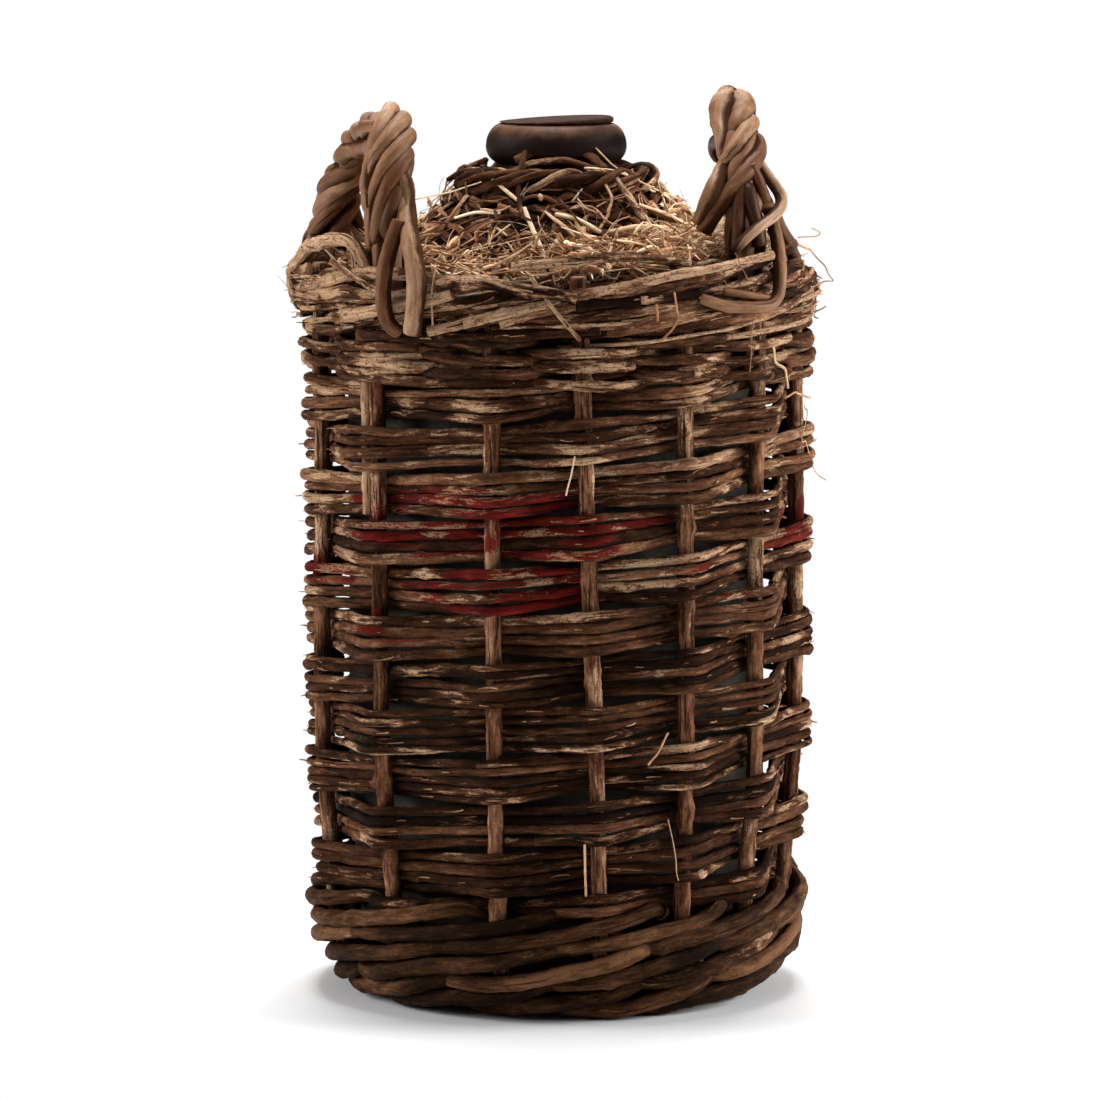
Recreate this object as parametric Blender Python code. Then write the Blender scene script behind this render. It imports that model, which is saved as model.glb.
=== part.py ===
"""Rum flagon: a stoneware jar closed by a bung, in a wicker casing with two roped handles.

Metres, +Z up. The origin is on the flagon's axis, in the plane it stands on. An angle round the
axis is in degrees from the front (-Y) and grows towards the right-hand side (+X).
"""

import math

import bmesh
import bpy
from mathutils import Vector

# Clearance between pieces that touch
GAP = 0.0003

# Stoneware jar
JAR_RADIUS = 0.0995
JAR_WALL = 0.0080
JAR_WALL_TOP = 0.3000
JAR_SHOULDER_BEND = 0.0536
JAR_CONE_DEG = 45.0
JAR_TO_WALE = 0.0008
NECK_RADIUS = 0.0295
NECK_HEIGHT = 0.0028
NECK_WALL = 0.0112
LIP_OVERHANG = 0.0040
LIP_HEIGHT = 0.0200
LIP_ARC_START_DEG = -60.0
LIP_ARC_END_DEG = 75.0
LIP_TOP_WIDTH = 0.0090

# Bung
BUNG_LENGTH = 0.0290
BUNG_PROUD = 0.0006
BUNG_SLANT = 0.0010
BUNG_OVERHANG = 0.0024
BUNG_HEAD = 0.0013

# Stakes, the upright rods of the casing
STAKE_COUNT = 14
STAKE_THICKNESS = 0.0076
STAKE_SHORT_OF_TOP = 0.0023
LEAN_TOP = 0.1200
LEAN_DEG = 4.6
FOOT_BEND = 0.0280
FOOT_RISE = 0.0084
FOOT_END_DEG = 68.0
FIRST_STAKE_DEG = -360.0 * 3 / STAKE_COUNT
STAKE_DRIFT_DEG = (1.1, 5.6, 11.0, 8.3, 6.1, 3.1, 6.9, 5.4, 3.5, 4.0, 4.0, 3.5, 2.0, -0.6)

# Base
BASE_THICKNESS = 0.0110
BASE_OVERHANG = 0.0097
BASE_HOLE_RADIUS = 0.0260
BASE_GROOVE = 0.0012
BASE_LANDS = 4
SLATH_TO_HOLE = 0.0020
SLATH_BOTTOM = 0.0020
SLATH_THICKNESS = 0.0070
SLATH_SHORT_OF_RIM = 0.0035
SLATH_ARMS = 16
PAD_OVERHANG = 0.0032

# Wale, the thick rods that wrap the foot
WALE_ROWS = 5
WALE_THICKNESS = 0.0086
WALE_ROW_GAP = 0.0006
WALE_START_DEG = 57.0
FIRST_RING_STAKE = 9

# Slews, the bands of thin rods up the wall
SLEW_TO_JAR = 0.0053
SLEW_TO_WALE = 0.0016
SLEWS_ABOVE_JAR_WALL = 0.0172
SLEW_PITCH = 0.0446
SLEW_LEVEL = 0.0953
SLEW_THICKNESS = 0.0054
SLEW_RODS = 4
SLEW_GROOVE = 0.0020
SLEW_THINNEST = 0.0045
SLEW_JOIN_STAKE = 10

# Border, the rods that finish the rim
BORDER_ROWS = 4
BORDER_THICKNESS = 0.0084
BORDER_ROW_GAP = 0.0004

# Handles. Each stands beside two stakes, on the side of greater (1) or lesser (-1) angle. Its
# skew moves the top towards its first foot, and its hooks swing round from the feet.
BOW_THICKNESS = 0.0060
STRAND_THICKNESS = 0.0088
STRAND_COUNT = 4
HANDLE_TURNS = -2.5
HANDLE_SPLIT_RISE = 0.0160
HANDLE_LEG_DEPTH = 0.0220
HOOK_DEPTH = 0.0030
TUCK_DEPTH = 0.0160
HOOK_SPREAD_DEG = 3.2
HANDLES = {
    "left": {
        "stakes": (1, 13),
        "sides": (1, -1),
        "rise": 0.0614,
        "lean": 0.0045,
        "skew": 0.36,
        "hook_swing_deg": (8.6, -8.0),
    },
    "right": {
        "stakes": (5, 8),
        "sides": (-1, -1),
        "rise": 0.0665,
        "lean": 0.0040,
        "skew": 0.12,
        "hook_swing_deg": (1.0, 0.0),
    },
}
SIDE_STAKE_AT = 1
SIDE_STAKE_LENGTH = 0.1140

# Shoulder cover, neck collar and packing
COVER_ROWS = 5
COVER_THICKNESS = 0.0076
COVER_WAVE = 0.0012
COVER_START_DEG = 45.0
COLLAR_THICKNESS = 0.0132
PACKING_PROUD = 0.0007
PACKING_BOTTOM_DEG = 14.0
PACKING_CREST_INSET = 0.0080

# Smoothness of round shapes, as counts and degrees
TURNED_SIDES = 28
ROD_SIDES = 6
ARC_STEPS = 4
INNER_ARC_STEPS = 3
COLLAR_SIDES = 8
STRAND_STEPS = 28
ARCH_SAMPLES = 400
SHARP_DEG = 40.0

# Radii and pitches that the sizes above fix
STAKE_R = STAKE_THICKNESS / 2
WALE_R = WALE_THICKNESS / 2
BORDER_R = BORDER_THICKNESS / 2
BOW_R = BOW_THICKNESS / 2
STRAND_R = STRAND_THICKNESS / 2
COLLAR_R = COLLAR_THICKNESS / 2
WALE_PITCH = WALE_THICKNESS + WALE_ROW_GAP
BORDER_PITCH = BORDER_THICKNESS + BORDER_ROW_GAP
SLEW_HALF = SLEW_PITCH / 4

# The casing's ring of stakes round the jar, and its foot
STAKE_RING_RADIUS = JAR_RADIUS + SLEW_TO_JAR + SLEW_THICKNESS + STAKE_R + 2 * GAP
LEAN = math.radians(LEAN_DEG)
FOOT_CENTRE_HEIGHT = FOOT_BEND + FOOT_RISE
FOOT_TOP_HEIGHT = FOOT_CENTRE_HEIGHT - FOOT_BEND * math.sin(LEAN)
LEAN_IN = (LEAN_TOP - FOOT_TOP_HEIGHT) * math.tan(LEAN)
FOOT_CENTRE_RADIUS = STAKE_RING_RADIUS - LEAN_IN - FOOT_BEND * math.cos(LEAN)
JAR_CORNER = FOOT_BEND - STAKE_R - GAP - WALE_THICKNESS - JAR_TO_WALE
JAR_BOTTOM = FOOT_CENTRE_HEIGHT - JAR_CORNER
BASE_RADIUS = FOOT_CENTRE_RADIUS + BASE_OVERHANG
PAD_RADIUS = FOOT_CENTRE_RADIUS + PAD_OVERHANG
SLATH_REACH = BASE_RADIUS - SLATH_SHORT_OF_RIM
SLATH_HUB_RADIUS = BASE_HOLE_RADIUS - SLATH_TO_HOLE

# Heights, from the foot up to the rim and the lip
WALE_LENGTH = (WALE_ROWS - 1) * WALE_PITCH
WALE_STRAIGHT = WALE_LENGTH - FOOT_BEND * (math.radians(WALE_START_DEG) - LEAN)
WALE_TOP = FOOT_TOP_HEIGHT + WALE_STRAIGHT * math.cos(LEAN) + WALE_R
SLEW_BOTTOM = WALE_TOP + SLEW_TO_WALE
SLEW_TOP = JAR_WALL_TOP + SLEWS_ABOVE_JAR_WALL
BORDER_BOTTOM = SLEW_TOP + GAP + BORDER_R
BORDER_TOP = BORDER_BOTTOM + (BORDER_ROWS - 1) * BORDER_PITCH + BORDER_R
STAKE_TOP = BORDER_TOP - STAKE_SHORT_OF_TOP
PACKING_CREST = BORDER_TOP + PACKING_PROUD
SHOULDER_REACH = JAR_SHOULDER_BEND * math.cos(math.radians(JAR_CONE_DEG))
CONE_SUM = JAR_RADIUS - JAR_SHOULDER_BEND + JAR_WALL_TOP + 2 * SHOULDER_REACH
LIP_RADIUS = NECK_RADIUS + LIP_OVERHANG
LIP_BOTTOM = CONE_SUM - NECK_RADIUS + NECK_HEIGHT
LIP_TOP = LIP_BOTTOM + LIP_HEIGHT
MOUTH_RADIUS = LIP_RADIUS - LIP_TOP_WIDTH
THROAT_RADIUS = NECK_RADIUS - NECK_WALL
BUNG_BOTTOM = LIP_TOP - BUNG_LENGTH

# Angles that rods take up beside a stake, and the places of the handles' ends
HOLD_DEG = math.degrees(STAKE_R / STAKE_RING_RADIUS)
COMPANION_DEG = math.degrees((STAKE_R + BOW_R + GAP) / STAKE_RING_RADIUS)
BORDER_OUTER = STAKE_RING_RADIUS + STAKE_R + BORDER_THICKNESS + 2 * GAP
BORDER_INNER = STAKE_RING_RADIUS - STAKE_R - BORDER_THICKNESS - 2 * GAP
HOOK_RADIUS = BORDER_OUTER + STRAND_R + GAP
TUCK_RADIUS = BORDER_INNER - STRAND_R - 2 * GAP
STRAND_ORBIT = BOW_R + STRAND_R + 3 * GAP
HANDLE_FOOT_HEIGHT = BORDER_TOP
HANDLE_LEG_BOTTOM = BORDER_BOTTOM - HANDLE_LEG_DEPTH
HOOK_BOTTOM = BORDER_BOTTOM - HOOK_DEPTH
TUCK_BOTTOM = BORDER_TOP - TUCK_DEPTH
SIDE_STAKE_BOTTOM = STAKE_TOP - SIDE_STAKE_LENGTH


def clear_scene():
    for thing in list(bpy.data.objects):
        bpy.data.objects.remove(thing, do_unlink=True)


def material(name, colour, roughness):
    made = bpy.data.materials.new(name)
    made.use_nodes = True
    shader = made.node_tree.nodes["Principled BSDF"]
    shader.inputs["Base Color"].default_value = (*colour, 1.0)
    shader.inputs["Roughness"].default_value = roughness
    shader.inputs["Metallic"].default_value = 0.0
    made.diffuse_color = (*colour, 1.0)
    return made


def add_object(name, mesh_maker, finish):
    """Put the faces that mesh_maker draws into one new object, facing outwards."""
    drawing = bmesh.new()
    mesh_maker(drawing)
    bmesh.ops.recalc_face_normals(drawing, faces=drawing.faces)
    mesh = bpy.data.meshes.new(name)
    drawing.to_mesh(mesh)
    drawing.free()
    mesh.materials.append(finish)
    mesh.shade_smooth()
    mesh.set_sharp_from_angle(angle=math.radians(SHARP_DEG))
    made = bpy.data.objects.new(name, mesh)
    bpy.context.collection.objects.link(made)
    return made


def at(radius, degrees, height):
    turn = math.radians(degrees)
    return Vector((radius * math.sin(turn), -radius * math.cos(turn), height))


def loft(name, rings, finish):
    """One closed body through a row of rings of points, with a face over each end."""

    def draw(drawing):
        rows = [[drawing.verts.new(point) for point in ring] for ring in rings]
        for low, high in zip(rows, rows[1:]):
            for k, first in enumerate(low):
                after = (k + 1) % len(low)
                drawing.faces.new((first, low[after], high[after], high[k]))
        drawing.faces.new(rows[0])
        drawing.faces.new(rows[-1])

    return add_object(name, draw, finish)


def rod(name, path, radius, finish, sides=ROD_SIDES):
    """A round rod along a path, its section carried on without twist."""
    rings = []
    heading = (path[1] - path[0]).normalized()
    side = heading.orthogonal().normalized()
    for k, point in enumerate(path):
        before = path[max(k - 1, 0)]
        after = path[min(k + 1, len(path) - 1)]
        new_heading = (after - before).normalized()
        side = heading.rotation_difference(new_heading) @ side
        heading = new_heading
        other = heading.cross(side)
        turns = [math.tau * n / sides for n in range(sides)]
        rings.append([point + radius * (math.cos(t) * side + math.sin(t) * other) for t in turns])
    return loft(name, rings, finish)


def turned(name, outline, finish, closed=False, wave=None):
    """A body turned round the axis. The outline is a list of (radius, height), bottom first."""

    def draw(drawing):
        rows = []
        for n, (radius, height) in enumerate(outline):
            if radius == 0:
                rows.append([drawing.verts.new((0, 0, height))] * TURNED_SIDES)
                continue
            row = []
            for k in range(TURNED_SIDES):
                extra = wave(n, k) if wave else 0
                row.append(drawing.verts.new(at(radius + extra, 360.0 * k / TURNED_SIDES, height)))
            rows.append(row)
        pairs = list(zip(rows, rows[1:])) + ([(rows[-1], rows[0])] if closed else [])
        for low, high in pairs:
            for k in range(TURNED_SIDES):
                after = (k + 1) % TURNED_SIDES
                corners = []
                for corner in (low[k], low[after], high[after], high[k]):
                    if corner not in corners:
                        corners.append(corner)
                drawing.faces.new(corners)

    return add_object(name, draw, finish)


def arc(centre, radius, start_deg, end_deg, steps=ARC_STEPS):
    """Points of an arc as (radius, height), its angles measured upwards from straight out."""
    points = []
    for k in range(steps + 1):
        turn = math.radians(start_deg + (end_deg - start_deg) * k / steps)
        points.append((centre[0] + radius * math.cos(turn), centre[1] + radius * math.sin(turn)))
    return points


def stake_angle(index):
    """Where a stake stands. The index may run past one turn, either way."""
    turns, place = divmod(index, STAKE_COUNT)
    even = FIRST_STAKE_DEG + 360.0 * place / STAKE_COUNT
    return 360.0 * turns + even + STAKE_DRIFT_DEG[place]


def stake_radius(height):
    """Distance of the stakes' centre line from the axis, above the foot's bend."""
    return STAKE_RING_RADIUS - max(LEAN_TOP - height, 0) * math.tan(LEAN)


def foot_line(length):
    """A point of the stakes' centre line and its outward normal, a length above the first wale."""
    start = math.radians(WALE_START_DEG)
    bent = FOOT_BEND * (start - LEAN)
    if length < bent:
        turn = start - length / FOOT_BEND
        straight = 0
    else:
        turn = LEAN
        straight = length - bent
    radius = FOOT_CENTRE_RADIUS + FOOT_BEND * math.cos(turn) + straight * math.sin(LEAN)
    height = FOOT_CENTRE_HEIGHT - FOOT_BEND * math.sin(turn) + straight * math.cos(LEAN)
    return (radius, height), (math.cos(turn), -math.sin(turn))


def bow_side(index):
    """On which side of a stake a handle's bow goes down: 1 or -1, and 0 where there is none."""
    place = index % STAKE_COUNT
    for handle in HANDLES.values():
        if place in handle["stakes"]:
            return handle["sides"][handle["stakes"].index(place)]
    return 0


def bow_angle(handle, end):
    """Where a handle's bow goes down, at one of its two ends."""
    return stake_angle(handle["stakes"][end]) + handle["sides"][end] * COMPANION_DEG


def crossing_angles(index):
    """The two angles between which a rod passes a stake, and what stands beside it."""
    centre = stake_angle(index)
    side = bow_side(index)
    before = COMPANION_DEG if side < 0 or index % STAKE_COUNT == SIDE_STAKE_AT else 0.0
    after = COMPANION_DEG if side > 0 else 0.0
    return centre - HOLD_DEG - before, centre + HOLD_DEG + after


def wavy_ring(name, first, place, thickness, finish):
    """A rod once round the casing, in front of two stakes and behind the third."""
    path = []
    stand = STAKE_R + thickness / 2 + 2 * GAP
    last = first + STAKE_COUNT
    for index in range(first, last + 1):
        offset = -stand if (index - first) % 3 == 0 else stand
        if index == last:
            offset = -stand
        (radius, height), (out, up) = place
        angles = crossing_angles(index)
        if index == first:
            angles = (stake_angle(index) + math.degrees(GAP / STAKE_RING_RADIUS), angles[1])
        if index == last:
            angles = (angles[0], stake_angle(index) - math.degrees(GAP / STAKE_RING_RADIUS))
        for angle in angles:
            path.append(at(radius + out * offset, angle, height + up * offset))
    return rod(name, path, thickness / 2, finish)


def make_jar(finish):
    """The jar: body, shoulder, neck and rolled lip outside, and one open hollow inside."""
    shoulder_centre = (JAR_RADIUS - JAR_SHOULDER_BEND, JAR_WALL_TOP)
    hollow_radius = JAR_RADIUS - JAR_WALL
    inner_corner = JAR_CORNER - JAR_WALL
    corner_radius = FOOT_CENTRE_RADIUS + JAR_CORNER * math.cos(LEAN)
    lean_rise = (JAR_RADIUS - corner_radius) / math.tan(LEAN)
    lean_height = FOOT_TOP_HEIGHT + lean_rise
    foot = (FOOT_CENTRE_RADIUS, FOOT_CENTRE_HEIGHT)
    neck_root = CONE_SUM - NECK_RADIUS
    outline = [(0, JAR_BOTTOM)]
    outline += arc(foot, JAR_CORNER, -90.0, -LEAN_DEG)
    outline += [(JAR_RADIUS, lean_height)]
    outline += arc(shoulder_centre, JAR_SHOULDER_BEND, 0.0, JAR_CONE_DEG)
    outline += [(NECK_RADIUS, neck_root), (NECK_RADIUS, LIP_BOTTOM)]
    lip_half = LIP_HEIGHT / 2
    lip_centre = (LIP_RADIUS - lip_half, LIP_BOTTOM + lip_half)
    outline += arc(lip_centre, lip_half, LIP_ARC_START_DEG, LIP_ARC_END_DEG)
    outline += [(MOUTH_RADIUS, LIP_TOP), (THROAT_RADIUS, throat_height())]
    outline += arc(shoulder_centre, JAR_SHOULDER_BEND - JAR_WALL, JAR_CONE_DEG, 0.0)
    outline += [(hollow_radius, lean_height)]
    outline += arc(foot, inner_corner, -LEAN_DEG, -90.0, INNER_ARC_STEPS)
    outline += [(0, JAR_BOTTOM + JAR_WALL)]
    return turned("stoneware_jar", outline, finish)


def shoulder_end():
    """Where the shoulder's bend ends and its cone begins."""
    return JAR_RADIUS - JAR_SHOULDER_BEND + SHOULDER_REACH, JAR_WALL_TOP + SHOULDER_REACH


def throat_height():
    """Where the inside of the cone meets the throat."""
    return CONE_SUM - JAR_WALL / math.cos(math.radians(JAR_CONE_DEG)) - THROAT_RADIUS


def make_bung(finish):
    """A tapered bung with a wider head, cut off at a slant."""
    head_bottom = LIP_TOP + GAP
    head_radius = MOUTH_RADIUS + BUNG_OVERHANG
    head_top = head_bottom + BUNG_HEAD + BUNG_PROUD
    outline = [
        (0, BUNG_BOTTOM),
        (THROAT_RADIUS - 2 * GAP, BUNG_BOTTOM),
        (THROAT_RADIUS - 2 * GAP, throat_height()),
        (MOUTH_RADIUS - 2 * GAP, LIP_TOP),
        (MOUTH_RADIUS - 2 * GAP, head_bottom),
        (head_radius, head_bottom),
        (head_radius, head_top),
        (0, head_top),
    ]
    made = turned("cork_bung", outline, finish)
    for vertex in made.data.vertices:
        if vertex.co.z > head_top - GAP:
            vertex.co.z += BUNG_SLANT / 2 * (vertex.co.x / head_radius - 1)
    return made


def make_slath(name, clearance, finish):
    """The base sticks: flat arms that grow out of a hub, here a little fatter by a clearance."""
    bottom = SLATH_BOTTOM - clearance
    top = SLATH_BOTTOM + SLATH_THICKNESS + clearance
    sides = 2 * SLATH_ARMS
    reach = SLATH_REACH - SLATH_HUB_RADIUS + clearance
    spread = math.degrees(clearance / SLATH_HUB_RADIUS)

    def draw(drawing):
        rows = []
        for height in (bottom, top):
            row = []
            for k in range(sides):
                fatter = spread if k % 2 else -spread
                angle = 360.0 * k / sides + fatter
                row.append(drawing.verts.new(at(SLATH_HUB_RADIUS, angle, height)))
            rows.append(row)
        drawing.faces.new(rows[0])
        drawing.faces.new(rows[1])
        walls = []
        for k in range(sides):
            after = (k + 1) % sides
            corners = (rows[0][k], rows[0][after], rows[1][after], rows[1][k])
            walls.append(drawing.faces.new(corners))
        bmesh.ops.recalc_face_normals(drawing, faces=drawing.faces)
        grown = bmesh.ops.extrude_discrete_faces(drawing, faces=walls[::2])
        for face in grown["faces"]:
            outwards = face.normal.copy()
            for vertex in face.verts:
                vertex.co += outwards * reach

    return add_object(name, draw, finish)


def make_base(finish, stick_finish):
    """The woven base, with a tunnel for each stick, and the sticks in it."""
    land = (BASE_RADIUS - BASE_HOLE_RADIUS) / BASE_LANDS
    outline = []
    for k in range(BASE_LANDS):
        start = BASE_HOLE_RADIUS + k * land
        outline.append((start + (BASE_GROOVE if k else 0), 0))
        outline.append((start + land - BASE_GROOVE, 0))
        if k < BASE_LANDS - 1:
            outline.append((start + land, BASE_GROOVE))
    outline += [(BASE_RADIUS, BASE_GROOVE), (BASE_RADIUS, BASE_THICKNESS - BASE_GROOVE)]
    outline += [(BASE_RADIUS - BASE_GROOVE, BASE_THICKNESS), (BASE_HOLE_RADIUS, BASE_THICKNESS)]
    base = turned("base_weave", outline, finish, closed=True)
    cutter = make_slath("slath_tunnels", GAP, finish)
    cutter.hide_render = True
    cutter.display_type = "WIRE"
    cut = base.modifiers.new("stick_tunnels", "BOOLEAN")
    cut.operation = "DIFFERENCE"
    cut.solver = "EXACT"
    cut.object = cutter
    make_slath("base_sticks", 0, stick_finish)


def make_pad(finish):
    """A flat bed of straw between the base and the jar."""
    bottom = BASE_THICKNESS + GAP
    top = JAR_BOTTOM - GAP
    bulge = (top - bottom) / 4
    foot_flat = FOOT_CENTRE_RADIUS
    outline = [(0, bottom), (PAD_RADIUS - bulge, bottom), (PAD_RADIUS, bottom + bulge)]
    outline += [(foot_flat, top), (0, top)]
    return turned("straw_bed", outline, finish)


def make_stakes(finish):
    """The upright rods, bent in under the wale at the foot."""
    for index in range(STAKE_COUNT):
        angle = stake_angle(index)
        path = []
        for k in range(ARC_STEPS):
            turn = math.radians(FOOT_END_DEG) + (LEAN - math.radians(FOOT_END_DEG)) * k / ARC_STEPS
            radius = FOOT_CENTRE_RADIUS + FOOT_BEND * math.cos(turn)
            path.append(at(radius, angle, FOOT_CENTRE_HEIGHT - FOOT_BEND * math.sin(turn)))
        for height in (FOOT_TOP_HEIGHT, LEAN_TOP, SLEW_TOP, STAKE_TOP):
            path.append(at(stake_radius(height), angle, height))
        rod("stake_%02d" % (index + 1), path, STAKE_R, finish)


def make_wale(finish):
    """Thick rods laid round the foot, each a stake behind the one below it."""
    for row in range(WALE_ROWS):
        place = foot_line(row * WALE_PITCH)
        wavy_ring("wale_rod_%d" % (row + 1), FIRST_RING_STAKE + row, place, WALE_THICKNESS, finish)


def make_border(finish):
    """The rods that close the top of the casing, laid as the wale is."""
    for row in range(BORDER_ROWS):
        height = BORDER_BOTTOM + row * BORDER_PITCH
        place = ((stake_radius(height), height), (1.0, 0))
        wavy_ring("border_rod_%d" % (row + 1), FIRST_RING_STAKE + row, place, BORDER_THICKNESS, finish)


def slew_section(angle, offset, level):
    """A band's section at an angle: a flat back, and one round ridge on its face for each rod."""
    low = max(level - SLEW_HALF + GAP / 2, SLEW_BOTTOM)
    high = min(level + SLEW_HALF - GAP / 2, SLEW_TOP)
    tall = high - low
    half = SLEW_THICKNESS / 2
    points = [(low, -half)]
    for k in range(SLEW_RODS):
        points.append((low + tall * (k + 0.5) / SLEW_RODS, half))
        if k < SLEW_RODS - 1:
            points.append((low + tall * (k + 1) / SLEW_RODS, half - SLEW_GROOVE))
    points.append((high, -half))
    return [at(stake_radius(height) + offset + out, angle, height) for height, out in points]


def slew_stations(strand, start, end):
    """Where a strand bends: its angle and offset there, and the stake that it passes."""
    stand = STAKE_R + SLEW_THICKNESS / 2 + 2 * GAP
    stations = []
    index = -2 * STAKE_COUNT
    while stake_angle(index) < end:
        front = (index + strand) % 2 == 1
        angles = crossing_angles(index)
        if not front and angles[1] - angles[0] < COMPANION_DEG + HOLD_DEG:
            angles = (stake_angle(index),)
        for angle in angles:
            if start < angle < end:
                stations.append((angle, stand if front else -stand, index))
        index += 1
    return stations


def cut_at_joins(stations, join, start, end):
    """Cut a strand once a turn, where it is behind a stake, and leave out joins near its ends."""
    part_gap = math.degrees(GAP / STAKE_RING_RADIUS)
    bands = [[]]
    for angle, offset, index in stations:
        inside = start + 180.0 < angle < end - 180.0
        if inside and (index - join) % STAKE_COUNT == 0:
            bands[-1].append((angle - part_gap, offset))
            bands.append([(angle + part_gap, offset)])
        else:
            bands[-1].append((angle, offset))
    return bands


def make_slews(finish):
    """Two strands of bands that wind up the wall, one over the other, each a turn to a node."""
    lowest = SLEW_BOTTOM + SLEW_THINNEST - SLEW_HALF
    highest = SLEW_TOP - SLEW_THINNEST + SLEW_HALF
    for strand in (0, 1):
        front_level = SLEW_LEVEL + strand * SLEW_PITCH / 2
        start = 360.0 * (lowest - front_level) / SLEW_PITCH
        end = 360.0 * (highest - front_level) / SLEW_PITCH
        stations = slew_stations(strand, start, end)
        bands = cut_at_joins(stations, SLEW_JOIN_STAKE + strand, start, end)
        for number, band in enumerate(bands):
            rings = []
            for angle, offset in band:
                level = front_level + SLEW_PITCH * angle / 360.0
                rings.append(slew_section(angle, offset, level))
            loft("slew_%s_%d" % ("ab"[strand], number + 1), rings, finish)


def handle_frame(handle):
    """The two feet of a handle and the directions of its arch."""
    feet = []
    for end in (0, 1):
        feet.append(at(STAKE_RING_RADIUS, bow_angle(handle, end), HANDLE_FOOT_HEIGHT))
    middle = (feet[0] + feet[1]) / 2
    half = (feet[1] - feet[0]) / 2
    inwards = Vector((-middle.x, -middle.y, 0)).normalized()
    rise = Vector((0, 0, handle["rise"])) + inwards * handle["lean"]
    return middle, half, rise


def arch_point(handle, share):
    """A point of a handle's centre line, its heading and the normal of its plane."""
    middle, half, rise = handle_frame(handle)
    turn = math.pi * share
    up = math.sin(turn)
    level = math.cos(turn)
    point = middle - half * (level + handle["skew"] * up * up) + rise * up
    heading = (half * up * (1 - 2 * handle["skew"] * level) + rise * level).normalized()
    across = half.cross(rise).normalized()
    return point, heading, across


def make_handle(name, handle, bow_finish, strand_finish):
    """A bow that goes down into the casing, with the strands roped round it."""
    leg_angles = [bow_angle(handle, end) for end in (0, 1)]
    bow = [at(STAKE_RING_RADIUS, leg_angles[0], HANDLE_LEG_BOTTOM)]
    bow += [arch_point(handle, share)[0] for share in even_shares(handle, 0, 1)]
    bow += [at(STAKE_RING_RADIUS, leg_angles[1], HANDLE_LEG_BOTTOM)]
    rod("handle_bow_%s" % name, bow, BOW_R, bow_finish)
    split = split_share(handle)
    turned_at_ends = [foot_turn(handle, share) for share in (split, 1 - split)]
    extra = turned_at_ends[1] - turned_at_ends[0]
    shares = even_shares(handle, split, 1 - split)
    for strand in range(STRAND_COUNT):
        phase = turned_at_ends[0] + math.tau * (strand + 0.5) / STRAND_COUNT
        path = []
        for step, share in enumerate(shares):
            point, heading, across = arch_point(handle, share)
            beside = across.cross(heading)
            turn = phase + (math.tau * HANDLE_TURNS + extra) * step / STRAND_STEPS
            orbit = STRAND_ORBIT * (math.cos(turn) * across + math.sin(turn) * beside)
            path.append(point + orbit)
        path = leg_path(path[0], handle, 0)[::-1] + path + leg_path(path[-1], handle, 1)
        rod("handle_%s_strand_%d" % (name, strand + 1), path, STRAND_R, strand_finish)


def even_shares(handle, start, end):
    """Shares of a handle's arch, from one to another, with equal lengths of it between them."""
    samples = [start + (end - start) * k / ARCH_SAMPLES for k in range(ARCH_SAMPLES + 1)]
    points = [arch_point(handle, share)[0] for share in samples]
    lengths = [0]
    for before, after in zip(points, points[1:]):
        lengths.append(lengths[-1] + (after - before).length)
    shares = []
    for step in range(STRAND_STEPS + 1):
        wanted = lengths[-1] * step / STRAND_STEPS
        nearest = min(range(len(samples)), key=lambda k: abs(lengths[k] - wanted))
        shares.append(samples[nearest])
    return shares


def split_share(handle):
    """How far along the arch its strands come together, from one foot."""
    return math.asin(HANDLE_SPLIT_RISE / handle["rise"]) / math.pi


def foot_turn(handle, share):
    """The turn, in the arch's own section, that points away from the flagon's axis."""
    point, heading, across = arch_point(handle, share)
    outwards = Vector((point.x, point.y, 0)).normalized()
    return math.atan2(outwards.dot(across.cross(heading)), outwards.dot(across))


def leg_path(start, handle, end):
    """How a strand goes on down from the arch's foot: outside the border, or inside it."""
    foot_deg = bow_angle(handle, end)
    start_deg = math.degrees(math.atan2(start.x, -start.y))
    turn_deg = (start_deg - foot_deg + 180.0) % 360.0 - 180.0
    start_radius = Vector((start.x, start.y)).length
    outside = start_radius > STAKE_RING_RADIUS
    radius = HOOK_RADIUS if outside else TUCK_RADIUS
    bottom = HOOK_BOTTOM if outside else TUCK_BOTTOM
    side = 1 if turn_deg > 0 else -1
    if outside:
        angle = foot_deg + handle["hook_swing_deg"][end] + side * HOOK_SPREAD_DEG
    else:
        angle = foot_deg + side * math.degrees((STRAND_R + GAP) / radius)
    return [at(radius, angle, BORDER_TOP + STRAND_R / 2), at(radius, angle, bottom)]


def make_side_stake(finish):
    """A thin rod pushed down beside one front stake."""
    angle = stake_angle(SIDE_STAKE_AT) - COMPANION_DEG
    path = [at(STAKE_RING_RADIUS, angle, z) for z in (SIDE_STAKE_BOTTOM, SLEW_TOP, STAKE_TOP)]
    rod("side_stake", path, BOW_R, finish)


def cover_line(length, off):
    """A point a length up the jar's shoulder from the cover's start, and off its surface."""
    start = math.radians(COVER_START_DEG)
    bent = JAR_SHOULDER_BEND * (math.radians(JAR_CONE_DEG) - start)
    turn = min(start + length / JAR_SHOULDER_BEND, math.radians(JAR_CONE_DEG))
    straight = max(length - bent, 0)
    out, up = math.cos(turn), math.sin(turn)
    radius = JAR_RADIUS - JAR_SHOULDER_BEND + (JAR_SHOULDER_BEND + off) * out - straight * up
    height = JAR_WALL_TOP + (JAR_SHOULDER_BEND + off) * up + straight * out
    return radius, height


def collar_centre():
    """The collar lies on the shoulder's cone, close under the lip."""
    height = LIP_BOTTOM - GAP - COLLAR_R
    cone = CONE_SUM + (COLLAR_R + 2 * GAP) / math.cos(math.radians(JAR_CONE_DEG))
    return cone - height, height


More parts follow.
